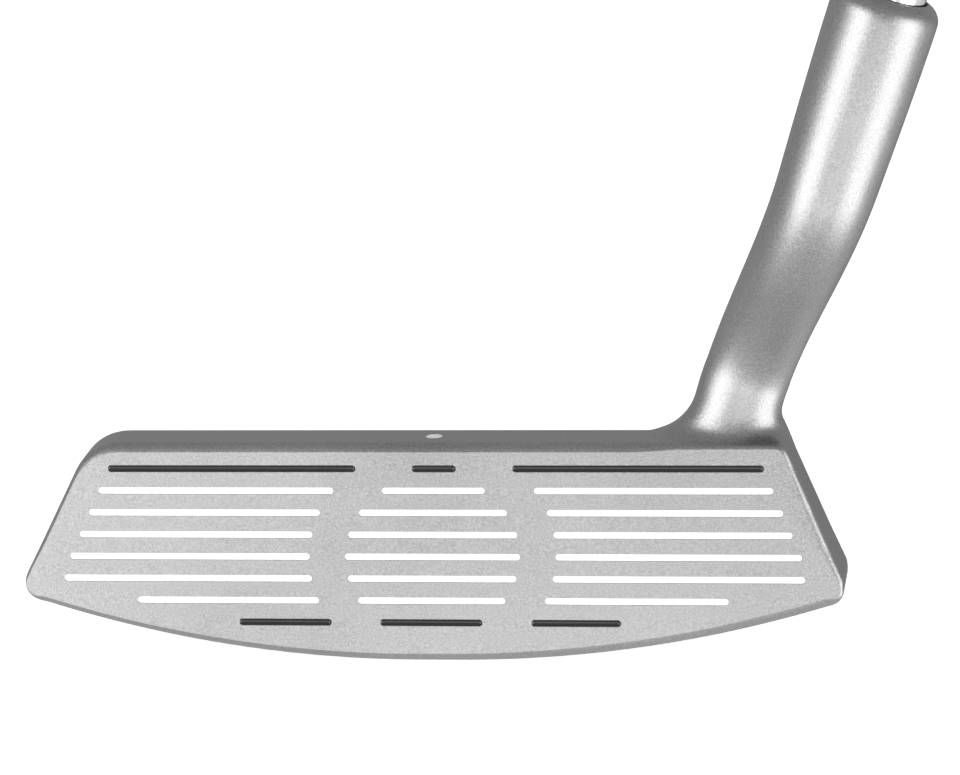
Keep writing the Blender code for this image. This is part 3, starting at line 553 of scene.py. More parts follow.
def front_round(x, high, small):
    """The topline's front round, from the unmilled front up to the top: a quarter ellipse.

    It passes the finished face at its stated depth and height, and softens down the heel side.
    """
    ledge = smooth((x - LEDGE_START) / LEDGE_BLEND)
    side = smooth((x - HEEL_END["top"][0]) / HEEL_SIDE_BLEND)

    def along(topline, ledge_value, side_value):
        return blend(blend(topline, ledge_value, ledge), side_value, side) * small

    face_depth = along(TOP_FRONT_ROUND, LEDGE_ROUND, HEEL_SIDE_ROUND)
    face_drop = along(TOP_FRONT_DROP, LEDGE_DROP, HEEL_SIDE_DROP)
    depth = face_depth + along(STOCK_TOP, LEDGE_STOCK, HEEL_SIDE_STOCK)
    drop = face_drop / (1.0 - math.sqrt(1.0 - (face_depth / depth) ** 2))
    inner_y = face_y(high - face_drop) + face_depth
    return [
        (inner_y - depth * math.cos(angle), high - drop * (1.0 - math.sin(angle)))
        for angle in QUARTER]


def blade_section(x):
    """The unmilled blade's section at x, as a ring that starts at the front's top."""
    low = sole_height(x)
    high = top_height(x)
    local = high - low
    small = min(1.0, local / FULL_ROUND_HEIGHT)
    squeeze = min(1.0, local / FULL_FLANGE_BLADE)
    points = front_round(x, high, small)
    top_back = TOP_BACK_RADIUS * small
    back_edge = back_y(high - top_back)
    points += arc((back_edge - top_back, high - top_back), top_back, math.pi / 2, 0.0, ARC_STEPS)

    # The hollow round, then the flange's top, lip, back and underside.
    extra = FLANGE_DEPTH * flange_share(x)
    flange_top = low + FLANGE_HEIGHT * squeeze
    hollow = CAVITY_RADIUS * squeeze
    reach = min(1.0, extra / (FLANGE_DEPTH * ROUND_LIMIT))
    for angle in QUARTER:
        points.append((
            back_y(flange_top + hollow) + hollow * (1.0 - math.cos(angle)) * reach,
            flange_top + hollow * (1.0 - math.sin(angle)),
        ))
    back_wall = back_y(flange_top) + extra
    lip = max(min(FLANGE_LIP_RADIUS * squeeze, ROUND_LIMIT * extra), FLANGE_LEAST_ROUND)
    points += arc((back_wall - lip, flange_top - lip), lip, math.pi / 2, 0.0, ARC_STEPS)
    under = min(FLANGE_SOLE_RADIUS * squeeze, (flange_top - low - lip) * ROUND_LIMIT)
    points += arc((back_wall - under, low + under), under, 0.0, -math.pi / 2, ARC_STEPS)

    # The leading edge, from the sole round to the unmilled front.
    lead = LEADING_RADIUS * small
    across = (x + TOE_REACH) / (TOE_REACH + HEEL_REACH)
    stock = blend(STOCK_TOE, STOCK_HEEL, smooth(across)) * small
    centre = (face_y(low + lead) - stock + lead / math.cos(LOFT), low + lead)
    points += arc(centre, lead, -math.pi / 2, -math.pi - LOFT, ARC_STEPS)
    return [Vector((x, y, z)) for y, z in points]


def make_blade_form():
    shape = bmesh.new()
    toe = [-distance for distance in reversed(end_stations(TOE_END))]
    loft(shape, [blade_section(x) for x in toe + end_stations(HEEL_END)])
    return helper_object("blade_form", shape)


# ---- neck shape
NECK_FRONT_DEPTH = NECK_DEPTH * NECK_FRONT_SHARE
NECK_BACK_DEPTH = NECK_DEPTH - NECK_FRONT_DEPTH
NECK_FOOT_Y = face_y(BLADE_HEIGHT - TOP_FRONT_DROP) + NECK_LEDGE + NECK_FRONT_DEPTH
BEND_START_Z = BLADE_HEIGHT + NECK_BEND_START
BEND_END_Z = BLADE_HEIGHT + NECK_BEND_END


def neck_centre(z):
    bend = smooth((z - BEND_START_Z) / (BEND_END_Z - BEND_START_Z))
    x = SHAFT_AXIS_X + z * math.tan(LEAN) - NECK_SIDE_SHIFT * (1.0 - bend)
    return Vector((x, blend(NECK_FOOT_Y, SHAFT_AXIS_Y, bend), z))


def quadrant_ring(centre, right, rear, toe, heel, front, back):
    """A ring made of four quarter ellipses that meet smoothly."""
    points = []
    for index in range(RING_SEGMENTS):
        angle = math.tau * index / RING_SEGMENTS
        side = heel if math.cos(angle) > 0.0 else toe
        depth = back if math.sin(angle) > 0.0 else front
        points.append(centre + right * (side * math.cos(angle)) + rear * (depth * math.sin(angle)))
    return points


def neck_foot_ring(rise, fillet):
    """A level ring round the neck's foot, this far above (or below) the topline."""
    z = BLADE_HEIGHT + rise
    centre = neck_centre(z)
    half_width = NECK_WIDTH / 2 / math.cos(LEAN)
    flare = 0.0
    if rise < fillet:
        flare = fillet - math.sqrt(fillet ** 2 - (fillet - max(rise, 0.0)) ** 2)
    fade = smooth(-rise / NECK_ROOT_DEPTH)
    wall = side_reach(HEEL_END, z) - centre.x
    toe = half_width + flare
    front = NECK_FRONT_DEPTH + FLARE_FRONT_BACK * flare
    back = NECK_BACK_DEPTH + FLARE_FRONT_BACK * flare
    heel = half_width + FLARE_HEEL * flare
    if 0.0 <= rise < NECK_HEEL_BLEND:
        heel = max(heel, min(wall, half_width * 2) + NECK_PROUD)
    if rise < 0.0:
        toe = half_width + FLARE_SUNK * flare
        front = NECK_FRONT_DEPTH
        heel = wall + NECK_PROUD - NECK_ROOT_SINK * fade
        stand = (NECK_FOOT_Y + back - BACK_TOP_Y) * (1.0 - fade) - NECK_ROOT_SINK * fade
        back = back_y(z) + stand - centre.y
    return quadrant_ring(centre, Vector((1, 0, 0)), Vector((0, 1, 0)), toe, heel, front, back)


def neck_ring(z, fillet):
    """A ring square to the neck's own path."""
    centre = neck_centre(z)
    path = (neck_centre(z + NECK_STRIDE) - neck_centre(z - NECK_STRIDE)).normalized()
    turn = smooth((z - BLADE_HEIGHT - fillet) / NECK_TURN_LENGTH)
    path = Vector((0, 0, 1)).lerp(path, turn).normalized()
    rear = (Vector((0, 1, 0)) - path * path.y).normalized()
    span = (z - BEND_START_Z) / (HOSEL_TOP_Z - BEND_START_Z)
    radius = blend(NECK_WIDTH / 2, HOSEL_DIAMETER / 2, smooth(span))
    side = radius / blend(math.cos(LEAN), 1.0, turn)
    round_off = smooth((z - BEND_START_Z) / (NECK_ROUND_SHARE * (BEND_END_Z - BEND_START_Z)))
    front = blend(NECK_FRONT_DEPTH, radius, round_off)
    back = blend(NECK_BACK_DEPTH, radius, round_off)
    return quadrant_ring(centre, rear.cross(path), rear, side, side, front, back)


def shoulder_ring(angle):
    """A ring on the round at the top of the hosel, from its side (0) to its end (90)."""
    radius = HOSEL_DIAMETER / 2 - HOSEL_SHOULDER_RADIUS * (1.0 - math.cos(angle))
    height = -HOSEL_SHOULDER_RADIUS * (1.0 - math.sin(angle))
    points = []
    for index in range(RING_SEGMENTS):
        turn = math.tau * index / RING_SEGMENTS
        points.append(Vector((radius * math.cos(turn), radius * math.sin(turn), height)))
    return [place_on_shaft(HOSEL_TOP_REACH) @ point for point in points]


def make_neck_form(fillet):
    sections = []
    for index in range(ROOT_RINGS, -1, -1):
        depth = blend(SUNK_LEAST, NECK_ROOT_END, (index / ROOT_RINGS) ** 2)
        sections.append(neck_foot_ring(-depth, fillet))
    for index in range(1, FILLET_RINGS + 1):
        angle = math.pi / 2 * index / (FILLET_RINGS + 1)
        sections.append(neck_foot_ring(fillet * (1.0 - math.cos(angle)), fillet))
    start = BLADE_HEIGHT + fillet
    straight_top = HOSEL_TOP_Z - HOSEL_SHOULDER_RADIUS * math.cos(LEAN)
    for index in range(NECK_SPANS + 1):
        sections.append(neck_ring(blend(start, straight_top, index / NECK_SPANS), fillet))
    sections += [shoulder_ring(angle) for angle in QUARTER[1:]]
    shape = bmesh.new()
    loft(shape, sections)
    return helper_object("neck_form", shape)


# ---- head casting
def cast_skin(obj):
    """Turn joined forms into one even skin, smoothed as a blasted casting is."""
    modifier = obj.modifiers.new("skin", "REMESH")
    modifier.mode = "VOXEL"
    modifier.voxel_size = SKIN_SIZE
    apply_modifiers(obj)
    shape = bmesh.new()
    shape.from_mesh(obj.data)
    for _ in range(SKIN_PASSES):
        relax(shape, shape.verts)
    fill_junction(shape)
    shape.to_mesh(obj.data)
    shape.free()


def fill_junction(shape):
    """Round out the hollow where the neck meets the blade; nothing is taken away."""
    foot = neck_centre(BLADE_HEIGHT)
    near = [vert for vert in shape.verts if (vert.co - foot).length < JUNCTION_REACH]
    for _ in range(JUNCTION_ROUNDS):
        shape.normal_update()
        before = [(vert.co.copy(), vert.normal.copy()) for vert in near]
        relax(shape, near)
        for vert, (place, outwards) in zip(near, before):
            if (vert.co - place).dot(outwards) < 0.0:
                vert.co = place


def milling_cutter():
    """The block of air that the face mill sweeps, in front of the finished face."""
    size = (TOE_REACH + HEEL_REACH + MILL_OVERRUN, MILL_HEIGHT, MILL_DEPTH)
    middle = (0.0, -MILL_HEIGHT / 2 + MILL_ABOVE, MILL_DEPTH / 2)
    shape = bmesh.new()
    bmesh.ops.create_cube(shape, size=1.0)
    bmesh.ops.scale(shape, vec=size, verts=shape.verts)
    bmesh.ops.translate(shape, vec=middle, verts=shape.verts)
    bmesh.ops.transform(shape, matrix=place_on_face(BLADE_HEIGHT), verts=shape.verts)
    return helper_object("milling_cutter", shape)


def line_place(node):
    """(height on the face, start x, end x) of a face line, from its fill in the frame."""
    low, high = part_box(node)
    sunk = (LINE_DEPTH - FIT_GAP + FILL_RECESS) / 2
    z = (low.z + high.z) / 2 + sunk * math.sin(LOFT)
    return z, low.x - FIT_GAP, high.x + FIT_GAP


def add_recess(cutter, width, start, end, depth, chamfer, placement):
    """A round-ended pocket with a broken edge, as a body in the cutter."""
    shape = bmesh.new()
    wide = 4 * chamfer
    face = slot_face(shape, width + wide, start - wide / 2, end + wide / 2, CUT_CLEARANCE)
    face = push_face(shape, face, chamfer - CUT_CLEARANCE)
    face = narrow_face(shape, face, wide / 2, -wide / 2)
    push_face(shape, face, chamfer - depth)
    bmesh.ops.recalc_face_normals(shape, faces=shape.faces)
    bmesh.ops.transform(shape, matrix=placement, verts=shape.verts)
    add_body(cutter, shape)


def add_body(joined, shape):
    """Copy a bmesh into another one, as a separate body."""
    mesh = mesh_from("body", shape)
    joined.from_mesh(mesh)
    bpy.data.meshes.remove(mesh)


def recess_cutter(sizes):
    """The face lines, the sight dot's pocket and the shaft's bore, as one cutter."""
    cutter = bmesh.new()
    for node in LINE_NODES:
        z, start, end = line_place(node)
        add_recess(
            cutter, sizes.line_width, start, end, LINE_DEPTH, sizes.edge_break, place_on_face(z))
    half_dot = sizes.dot_diameter / 2
    dot_place = Matrix.Translation((0.0, DOT_Y, BLADE_HEIGHT))
    add_recess(
        cutter, sizes.dot_diameter, -half_dot, half_dot, DOT_DEPTH, sizes.edge_break, dot_place)
    bore = bmesh.new()
    length = BORE_DEPTH + CUT_CLEARANCE
    middle = Matrix.Translation((0.0, 0.0, CUT_CLEARANCE - length / 2))
    bmesh.ops.create_cone(
        bore, cap_ends=True, segments=RING_SEGMENTS, radius1=BORE_DIAMETER / 2,
        radius2=BORE_DIAMETER / 2, depth=length, matrix=place_on_shaft(HOSEL_TOP_REACH) @ middle)
    add_body(cutter, bore)
    return helper_object("recess_cutter", cutter)


def mark_creases(mesh):
    """Sharp edges round the milled face and the cut pockets; everything cast stays smooth."""
    shape = bmesh.new()
    shape.from_mesh(mesh)
    bmesh.ops.remove_doubles(shape, verts=shape.verts, dist=HEAD_WELD)
    shape.normal_update()
    for face in shape.faces:
        face.smooth = True
    for edge in shape.edges:
        if len(edge.link_faces) != 2:
            continue
        turn = edge.calc_face_angle(0.0)
        milled = [face.normal.dot(FACE_NORMAL) > MILLED_COSINE for face in edge.link_faces]
        crossing = milled[0] != milled[1] and turn > FACE_CREASE
        edge.smooth = not crossing and turn < CUT_CREASE
    shape.to_mesh(mesh)
    shape.free()


def make_head_mesh(settings):
    head = make_blade_form()
    combine(head, make_neck_form(settings.neck_fillet), "UNION")
    cast_skin(head)
    combine(head, milling_cutter(), "DIFFERENCE")
    combine(head, recess_cutter(settings), "DIFFERENCE")
    mesh = head.data.copy()
    remove_object(head)
    mark_creases(mesh)
    return mesh


# ---- enamel
def make_fill_mesh(name, width, start, end, depth, recess, hollow, placement):
    """Paint in a pocket: its top hollows towards the middle, as paint that has shrunk."""
    shape = bmesh.new()
    face = slot_face(shape, width, start, end, -depth)
    face = push_face(shape, face, depth - recess)
    radius = width / 2
    done = 0.0
    for share in HOLLOW_RINGS:
        sink = hollow * (math.sin(math.pi / 2 * share) - math.sin(math.pi / 2 * done))
        face = narrow_face(shape, face, radius * (share - done), -sink)
        done = share
    bmesh.ops.recalc_face_normals(shape, faces=shape.faces)
    return placed_mesh(name, shape, placement)


# ---- shaft
def shaft_profile(sizes):
    """(radius, reach) points: up the outside over the steps, and down the inside."""
    tip = sizes.tip_diameter / 2
    butt = sizes.butt_diameter / 2
    bottom = HOSEL_TOP_REACH - BORE_DEPTH + SHAFT_BOTTOM_MARGIN
    top = GRIP_TOP_REACH - SHAFT_TOP_MARGIN
    first = HOSEL_TOP_REACH + SHAFT_TIP_LENGTH
    last = GRIP_BOTTOM_REACH - LAST_STEP_MARGIN
    rise = (butt - tip) / SHAFT_STEPS
    points = [(tip, bottom)]
    for step in range(SHAFT_STEPS):
        reach = blend(first, last, step / (SHAFT_STEPS - 1))
        low = tip + rise * step
        points.append((low, reach - STEP_ROUND))
        points.append((low + rise * STEP_EASE, reach + STEP_ROUND))
        points.append((low + rise * (1.0 - STEP_EASE), reach + STEP_SLOPE - STEP_ROUND))
        points.append((low + rise, reach + STEP_SLOPE + STEP_ROUND))
    points.append((butt, top))
    points.append((butt - SHAFT_WALL, top))
    points.append((butt - SHAFT_WALL, GRIP_BOTTOM_REACH))
    points.append((tip - SHAFT_WALL, first))
    points.append((tip - SHAFT_WALL, bottom))
    return points


def make_shaft_mesh(sizes):
    shape = bmesh.new()
    turned(shape, shaft_profile(sizes), SHAFT_SEGMENTS)
    return placed_mesh("shaft_tube", shape, place_on_shaft(0.0))


# ---- grip
def grip_outline(share, shrink=0.0):
    """(depth, across) points of the grip's plain outline at a share of its length."""
    mouth = GRIP_BORE_DIAMETER / 2 + GRIP_WALL
    radius = blend(mouth, GRIP_TOP_WIDTH / 2, share)
    swell = PISTOL_BULGE * smooth((share - SWELL_START) / (SWELL_FULL - SWELL_START))
    swell *= 1.0 - SWELL_TOP_LOSS * smooth((share - SWELL_FULL) / (1.0 - SWELL_FULL))
    flat = blend(GRIP_BORE_DIAMETER / 2 + GRIP_FLAT_WALL, GRIP_FLAT_AT_TOP, share)
    half_flat = math.acos(flat / radius)
    points = []
    for index in range(FLAT_SEGMENTS):
        points.append((-flat, radius * math.sin(half_flat) * (1.0 - 2.0 * index / FLAT_SEGMENTS)))
    round_segments = GRIP_SEGMENTS - FLAT_SEGMENTS
    for index in range(round_segments):
        angle = math.pi + half_flat + (math.tau - 2 * half_flat) * index / round_segments
        depth = radius * math.cos(angle)
        if depth > 0.0:
            depth *= 1.0 + swell / radius
        points.append((depth, radius * math.sin(angle)))
    return [Vector(point) - Vector(point).normalized() * (shrink + GRIP_SKIN) for point in points]


def groove(distance, half_width):
    """1 on a groove's line and 0 beyond its half width."""
    return smooth(1.0 - abs(distance) / half_width)


def nearest_line(value, pitch):
    """Signed distance to the nearest multiple of the pitch."""
    return (value + pitch / 2) % pitch - pitch / 2


def grip_depth(index, reach, radius, sizes):
    """How deep the moulded pattern is at a point of the grip."""
    from_mouth = reach - PATTERN_START
    to_cap = GRIP_LENGTH - PATTERN_END - reach
    ends = smooth(from_mouth / PATTERN_FADE) * smooth(to_cap / PATTERN_FADE)
    ribs = 0.0
    for rib in range(MOUTH_RIBS):
        ribs = max(ribs, groove(reach - MOUTH_RIB_PITCH * (rib + 1), sizes.groove_width))
    if index < FLAT_SEGMENTS:
        across = abs(2.0 * index / FLAT_SEGMENTS - 1.0)
        edge = smooth((1.0 - across) / FLAT_PATTERN_FADE)
        cut = groove(nearest_line(reach, sizes.rib_pitch), sizes.groove_width) * edge
    else:
        share = (index - FLAT_SEGMENTS) / (GRIP_SEGMENTS - FLAT_SEGMENTS)
        edge = smooth(min(share, 1.0 - share) / SIDE_PATTERN_FADE)
        around = share * math.tau * radius
        left = groove(nearest_line(around + reach, sizes.diamond_pitch), sizes.groove_width)
        right = groove(nearest_line(around - reach, sizes.diamond_pitch), sizes.groove_width)
        cut = max(left, right) * edge
    return sizes.groove_depth * max(cut * ends, ribs)


def grip_section(reach, sizes, shrink):
    outline = grip_outline(reach / GRIP_LENGTH, shrink)
    radius = blend(GRIP_BORE_DIAMETER / 2 + GRIP_WALL, GRIP_TOP_WIDTH / 2, 0.5)
    points = []
    for index, point in enumerate(outline):
        cut = grip_depth(index, reach, radius, sizes)
        inwards = point.normalized() * cut
        points.append(Vector((point.x - inwards.x, point.y - inwards.y, reach)))
    return points


def bore_ring(height, radius):
    """A round ring whose points stand level with the grip outline's own points."""
    points = []
    for point in grip_outline(0.5):
        flat = point.normalized() * radius
        points.append(Vector((flat.x, flat.y, height)))
    return points


def make_grip_mesh(sizes):
    edge = [GRIP_EDGE_LENGTH * step / GRIP_EDGE_STEPS for step in range(GRIP_EDGE_STEPS + 1)]
    inner = GRIP_LENGTH - 2 * GRIP_EDGE_LENGTH
    reaches = edge + [
        GRIP_EDGE_LENGTH + inner * step / GRIP_RINGS for step in range(1, GRIP_RINGS + 1)]
    reaches += [GRIP_LENGTH - distance for distance in reversed(edge[:-1])]
    sections = []
    for reach in reaches:
        end = min(reach, GRIP_LENGTH - reach, GRIP_EDGE_LENGTH) / GRIP_EDGE_LENGTH
        shrink = GRIP_EDGE_ROUND * (1.0 - math.sqrt(1.0 - (1.0 - end) ** 2))
        sections.append(grip_section(reach, sizes, shrink))
    sections.append(bore_ring(GRIP_LENGTH, GRIP_BORE_DIAMETER / 2))
    sections.append(bore_ring(0.0, GRIP_BORE_DIAMETER / 2))
    shape = bmesh.new()
    loft(shape, sections, closed=True)
    return placed_mesh("grip_sleeve", shape, place_on_shaft(GRIP_BOTTOM_REACH), GRIP_CREASE)


def make_cap_mesh():
    low = GRIP_LENGTH + FIT_GAP
    high = GRIP_LENGTH + CAP_HEIGHT - GRIP_SKIN
    steps = [(CAP_SHRINK + CAP_LOWER_CHAMFER, low), (CAP_SHRINK, low + CAP_LOWER_CHAMFER)]
    for angle in QUARTER:
        shrink = CAP_SHRINK + CAP_EDGE_RADIUS * (1.0 - math.cos(angle))
        steps.append((shrink, high - CAP_EDGE_RADIUS * (1.0 - math.sin(angle))))
    sections = []
    for shrink, height in steps:
        sections.append([Vector((x, y, height)) for x, y in grip_outline(1.0, shrink)])
    dish = high - CAP_DISH
    ring = [Vector((point.x, point.y, high)) for point in grip_outline(1.0, CAP_RIM)]
    sections.append(ring)
    sections.append(
        [Vector((point.x * CAP_DISH_TAPER, point.y * CAP_DISH_TAPER, dish)) for point in ring])
    sections += [bore_ring(height, VENT_DIAMETER / 2) for height in (dish, low)]
    shape = bmesh.new()
    loft(shape, sections, closed=True)
    return placed_mesh("butt_cap", shape, place_on_shaft(GRIP_BOTTOM_REACH))


# ---- shader groups
def add_node(tree, kind, **values):
    node = tree.nodes.new(kind)
    for name, value in values.items():
        setattr(node, name, value)
    return node


def new_group(name, inputs, outputs):
    """A shader group with float inputs (name, default) and float outputs."""
    group = bpy.data.node_groups.new(name, "ShaderNodeTree")
    for label, default in inputs:
        socket = group.interface.new_socket(
            name=label, in_out="INPUT", socket_type="NodeSocketFloat")
        socket.default_value = default
    for label in outputs:
        group.interface.new_socket(name=label, in_out="OUTPUT", socket_type="NodeSocketFloat")
    start = add_node(group, "NodeGroupInput")
    end = add_node(group, "NodeGroupOutput")
    return group, start, end


def math_node(tree, operation, first, second):
    """A Math node fed by sockets or plain numbers."""
    node = add_node(tree, "ShaderNodeMath", operation=operation)
    for index, value in enumerate((first, second)):
        if isinstance(value, (int, float)):
            node.inputs[index].default_value = value
        else:
            tree.links.new(value, node.inputs[index])
    return node.outputs[0]


def grain_group():
    """Fine grain: a value round 1 for tone, one round 1 for roughness, and a height."""
    name = "fine_grain"
    if name in bpy.data.node_groups:
        return bpy.data.node_groups[name]
    group, start, end = new_group(
        name,
        [("Grain Scale", 3000.0), ("Cloud Scale", 60.0), ("Tone", 0.1), ("Wear", 0.1)],
        ["Tone", "Roughness", "Height"])
    place = add_node(group, "ShaderNodeTexCoord")
    grain = add_node(group, "ShaderNodeTexNoise", noise_dimensions="3D")
    grain.inputs["Detail"].default_value = GRAIN_DETAIL
    cloud = add_node(group, "ShaderNodeTexNoise", noise_dimensions="3D")
    cloud.inputs["Detail"].default_value = CLOUD_DETAIL
    for texture, scale in ((grain, "Grain Scale"), (cloud, "Cloud Scale")):
        group.links.new(place.outputs["Object"], texture.inputs["Vector"])
        group.links.new(start.outputs[scale], texture.inputs["Scale"])
    fine = math_node(group, "SUBTRACT", grain.outputs["Fac"], 0.5)
    broad = math_node(group, "SUBTRACT", cloud.outputs["Fac"], 0.5)
    faint = math_node(group, "MULTIPLY", broad, CLOUD_IN_TONE)
    tone = math_node(group, "MULTIPLY", math_node(group, "ADD", fine, faint), start.outputs["Tone"])
    wear = math_node(group, "MULTIPLY", math_node(group, "ADD", fine, broad), start.outputs["Wear"])
    group.links.new(math_node(group, "ADD", tone, 1.0), end.inputs["Tone"])
    group.links.new(math_node(group, "ADD", wear, 1.0), end.inputs["Roughness"])
    group.links.new(grain.outputs["Fac"], end.inputs["Height"])
    return group


def tinted(tree, colour, factor):
    """A colour multiplied by a changing factor."""
    node = add_node(tree, "ShaderNodeVectorMath", operation="SCALE")
    node.inputs[0].default_value = colour
    tree.links.new(factor, node.inputs["Scale"])
    return node.outputs[0]


def make_material(name, colour, roughness=None):
    """A Principled material whose tone, roughness and surface carry fine grain.

    Its finish is looked up by name; the finish's grain is (grain scale, cloud scale, tone, wear).
    """
    usual_roughness, metallic, grain, bump, coat = FINISHES[name]
    if roughness is None:
        roughness = usual_roughness
    material = bpy.data.materials.new(name)
    material.use_nodes = True
    tree = material.node_tree
    shader = tree.nodes["Principled BSDF"]
    shader.inputs["Metallic"].default_value = metallic
    shader.inputs["Coat Weight"].default_value = coat
    shader.inputs["Coat Roughness"].default_value = COAT_ROUGHNESS
    texture = add_node(tree, "ShaderNodeGroup", node_tree=grain_group())
    for index, value in enumerate(grain):
        texture.inputs[index].default_value = value
    tree.links.new(tinted(tree, colour, texture.outputs["Tone"]), shader.inputs["Base Color"])
    rough = math_node(tree, "MULTIPLY", texture.outputs["Roughness"], roughness)
    tree.links.new(rough, shader.inputs["Roughness"])
    relief = add_node(tree, "ShaderNodeBump")
    relief.inputs["Strength"].default_value = 1.0
    relief.inputs["Distance"].default_value = bump
    tree.links.new(texture.outputs["Height"], relief.inputs["Height"])
    tree.links.new(relief.outputs["Normal"], shader.inputs["Normal"])
    material.diffuse_color = (*colour, 1.0)
    return material


# ---- settings
def length_setting(name, description, default, low, high):
    """A length with its limits, all three given in millimetres."""
    return bpy.props.FloatProperty(
        name=name, description=description, default=default * MM, min=low * MM, max=high * MM,
        unit="LENGTH")


def colour_setting(name, description, default):
    return bpy.props.FloatVectorProperty(
        name=name, description=description, default=default, size=3, min=0.0, max=1.0,
        subtype="COLOR")


def angle_setting(name, description, default):
    return bpy.props.FloatProperty(
        name=name, description=description, default=default, subtype="ANGLE", unit="ROTATION")


def power_setting(name, description, default):
    return bpy.props.FloatProperty(
        name=name, description=description, default=default, subtype="POWER")


class HeadSettings(bpy.types.PropertyGroup):
    """Sizes and finish of the cast head."""

    neck_fillet: length_setting(
        "Neck Fillet", "Round from the neck into the topline, on the toe side",
        5.0, 1.0, 9.0)
    line_width: length_setting(
        "Line Width", "Width of a face line at the face",
        0.87, 0.4, 1.4)
    edge_break: length_setting(
        "Edge Break", "Chamfer round the face lines and the sight dot",
        0.05, 0.01, 0.15)
    dot_diameter: length_setting(
        "Dot Diameter", "Diameter of the sight dot on the topline",
        2.2, 1.0, 4.0)
    steel_colour: colour_setting(
        "Steel Colour", "Reflection colour of the blasted steel", (0.305, 0.305, 0.305))
    steel_roughness: bpy.props.FloatProperty(
        name="Steel Roughness", description="How dull the blasted steel is",
        default=0.4, min=0.0, max=1.0, subtype="FACTOR")


class EnamelSettings(bpy.types.PropertyGroup):
    """Paint in the face lines and the sight dot."""

    white: colour_setting(
        "White Enamel", "Colour of the white lines and the sight dot", (0.93, 0.93, 0.93))
    black: colour_setting(
        "Black Enamel", "Colour of the top and bottom lines", (0.012, 0.012, 0.013))
    white_recess: length_setting(
        "White Recess", "From the face down to the edge of the white paint",
        0.06, 0.0, 0.3)
    black_recess: length_setting(
        "Black Recess", "From the face down to the edge of the black paint",
        0.05, 0.0, 0.3)
    white_hollow: length_setting(
        "White Hollow", "How far the white paint's middle sinks below its edge",
        0.04, 0.0, 0.3)
    black_hollow: length_setting(
        "Black Hollow", "How far the black paint's middle sinks below its edge",
        0.24, 0.0, 0.3)


class ShaftSettings(bpy.types.PropertyGroup):
    """Sizes and finish of the stepped steel shaft."""

    tip_diameter: length_setting(
        "Tip Diameter", "Outside diameter at the hosel",
        9.4, 8.0, 9.6)
    butt_diameter: length_setting(
        "Butt Diameter", "Outside diameter under the grip",
        14.7, 12.0, 14.9)
    chrome: colour_setting(
        "Chrome", "Reflection colour of the plating", (0.78, 0.79, 0.8))


class GripSettings(bpy.types.PropertyGroup):
    """Moulded pattern and colours of the grip and its cap."""

    groove_depth: length_setting(
        "Groove Depth", "Depth of the moulded grooves",
        0.45, 0.0, 0.8)
    groove_width: length_setting(
        "Groove Half Width", "From a groove's middle to its edge",
        0.95, 0.5, 2.0)
    rib_pitch: length_setting(
        "Rib Pitch", "Spacing of the grooves across the thumb flat",
        4.2, 2.0, 10.0)
    diamond_pitch: length_setting(
        "Diamond Pitch", "Spacing of the slanting grooves round the sides",
        6.6, 3.0, 12.0)
    rubber: colour_setting(
        "Rubber", "Colour of the grip's rubber", (0.018, 0.018, 0.019))
    cap: colour_setting(
        "Cap", "Colour of the cap's plastic", (0.028, 0.028, 0.03))


class StageSettings(bpy.types.PropertyGroup):
    """Camera, floor and lights."""

    azimuth: angle_setting(
        "Azimuth", "How far the camera stands round to the heel", math.radians(8.0))
    elevation: angle_setting(
        "Elevation", "How far the camera looks down", math.radians(15.0))
    distance: bpy.props.FloatProperty(
        name="Distance", description="From the camera to the face",
        default=0.62, min=0.1, subtype="DISTANCE", unit="LENGTH")
    lens: bpy.props.FloatProperty(
        name="Lens", description="Focal length, in millimetres", default=174.4, min=20.0)
    roll: angle_setting(
        "Roll", "Camera's own tilt", math.radians(0.1))
    key_power: power_setting(
        "Key Light", "Power of the toe side softbox", 14.0)
    fill_power: power_setting(
        "Fill Light", "Power of the heel side softbox", 16.0)
    front_power: power_setting(
        "Front Light", "Power of the panel in front", 2.7)
    floor_colour: colour_setting(
        "Floor", "Colour of the pale floor", (0.86, 0.86, 0.86))


# ---- operators
class PUTTER_OT_head(bpy.types.Operator):
    """Model the cast head: blade, flange, gooseneck and hosel, milled face and pockets"""

    bl_idname = "putter.head"
    bl_label = "Head Casting"

    def execute(self, context):
        settings = context.scene.putter_head
        steel = make_material("satin_steel", settings.steel_colour, settings.steel_roughness)
        head = make_head_mesh(settings)
        finish_piece("putter_head", head, steel, ["head_casting"])
        return {"FINISHED"}


class PUTTER_OT_enamel(bpy.types.Operator):
    """Fill the face lines and the sight dot with enamel"""

    bl_idname = "putter.enamel"
    bl_label = "Enamel Fills"

    def execute(self, context):
        head = context.scene.putter_head
        paint = context.scene.putter_enamel
        white = make_material("white_enamel", paint.white)
        black = make_material("black_enamel", paint.black)
        enamels = {
            "white": (white, paint.white_recess, paint.white_hollow),
            "black": (black, paint.black_recess, paint.black_hollow),
        }
        for node in LINE_NODES:
            z, start, end = line_place(node)
            kind = "black" if node.startswith("black") else "white"
            material, recess, hollow = enamels[kind]
            mesh = make_fill_mesh(
                node + "_paint", head.line_width, start, end, LINE_DEPTH, recess, hollow,
                place_on_face(z))
            finish_piece(node + "_paint", mesh, material, [node])
        half_dot = head.dot_diameter / 2
        mesh = make_fill_mesh(
            "sight_dot", head.dot_diameter, -half_dot, half_dot, DOT_DEPTH, paint.white_recess,
            paint.white_hollow, Matrix.Translation((0.0, DOT_Y, BLADE_HEIGHT)))
        finish_piece("sight_dot", mesh, white, ["alignment_dot"])
        return {"FINISHED"}


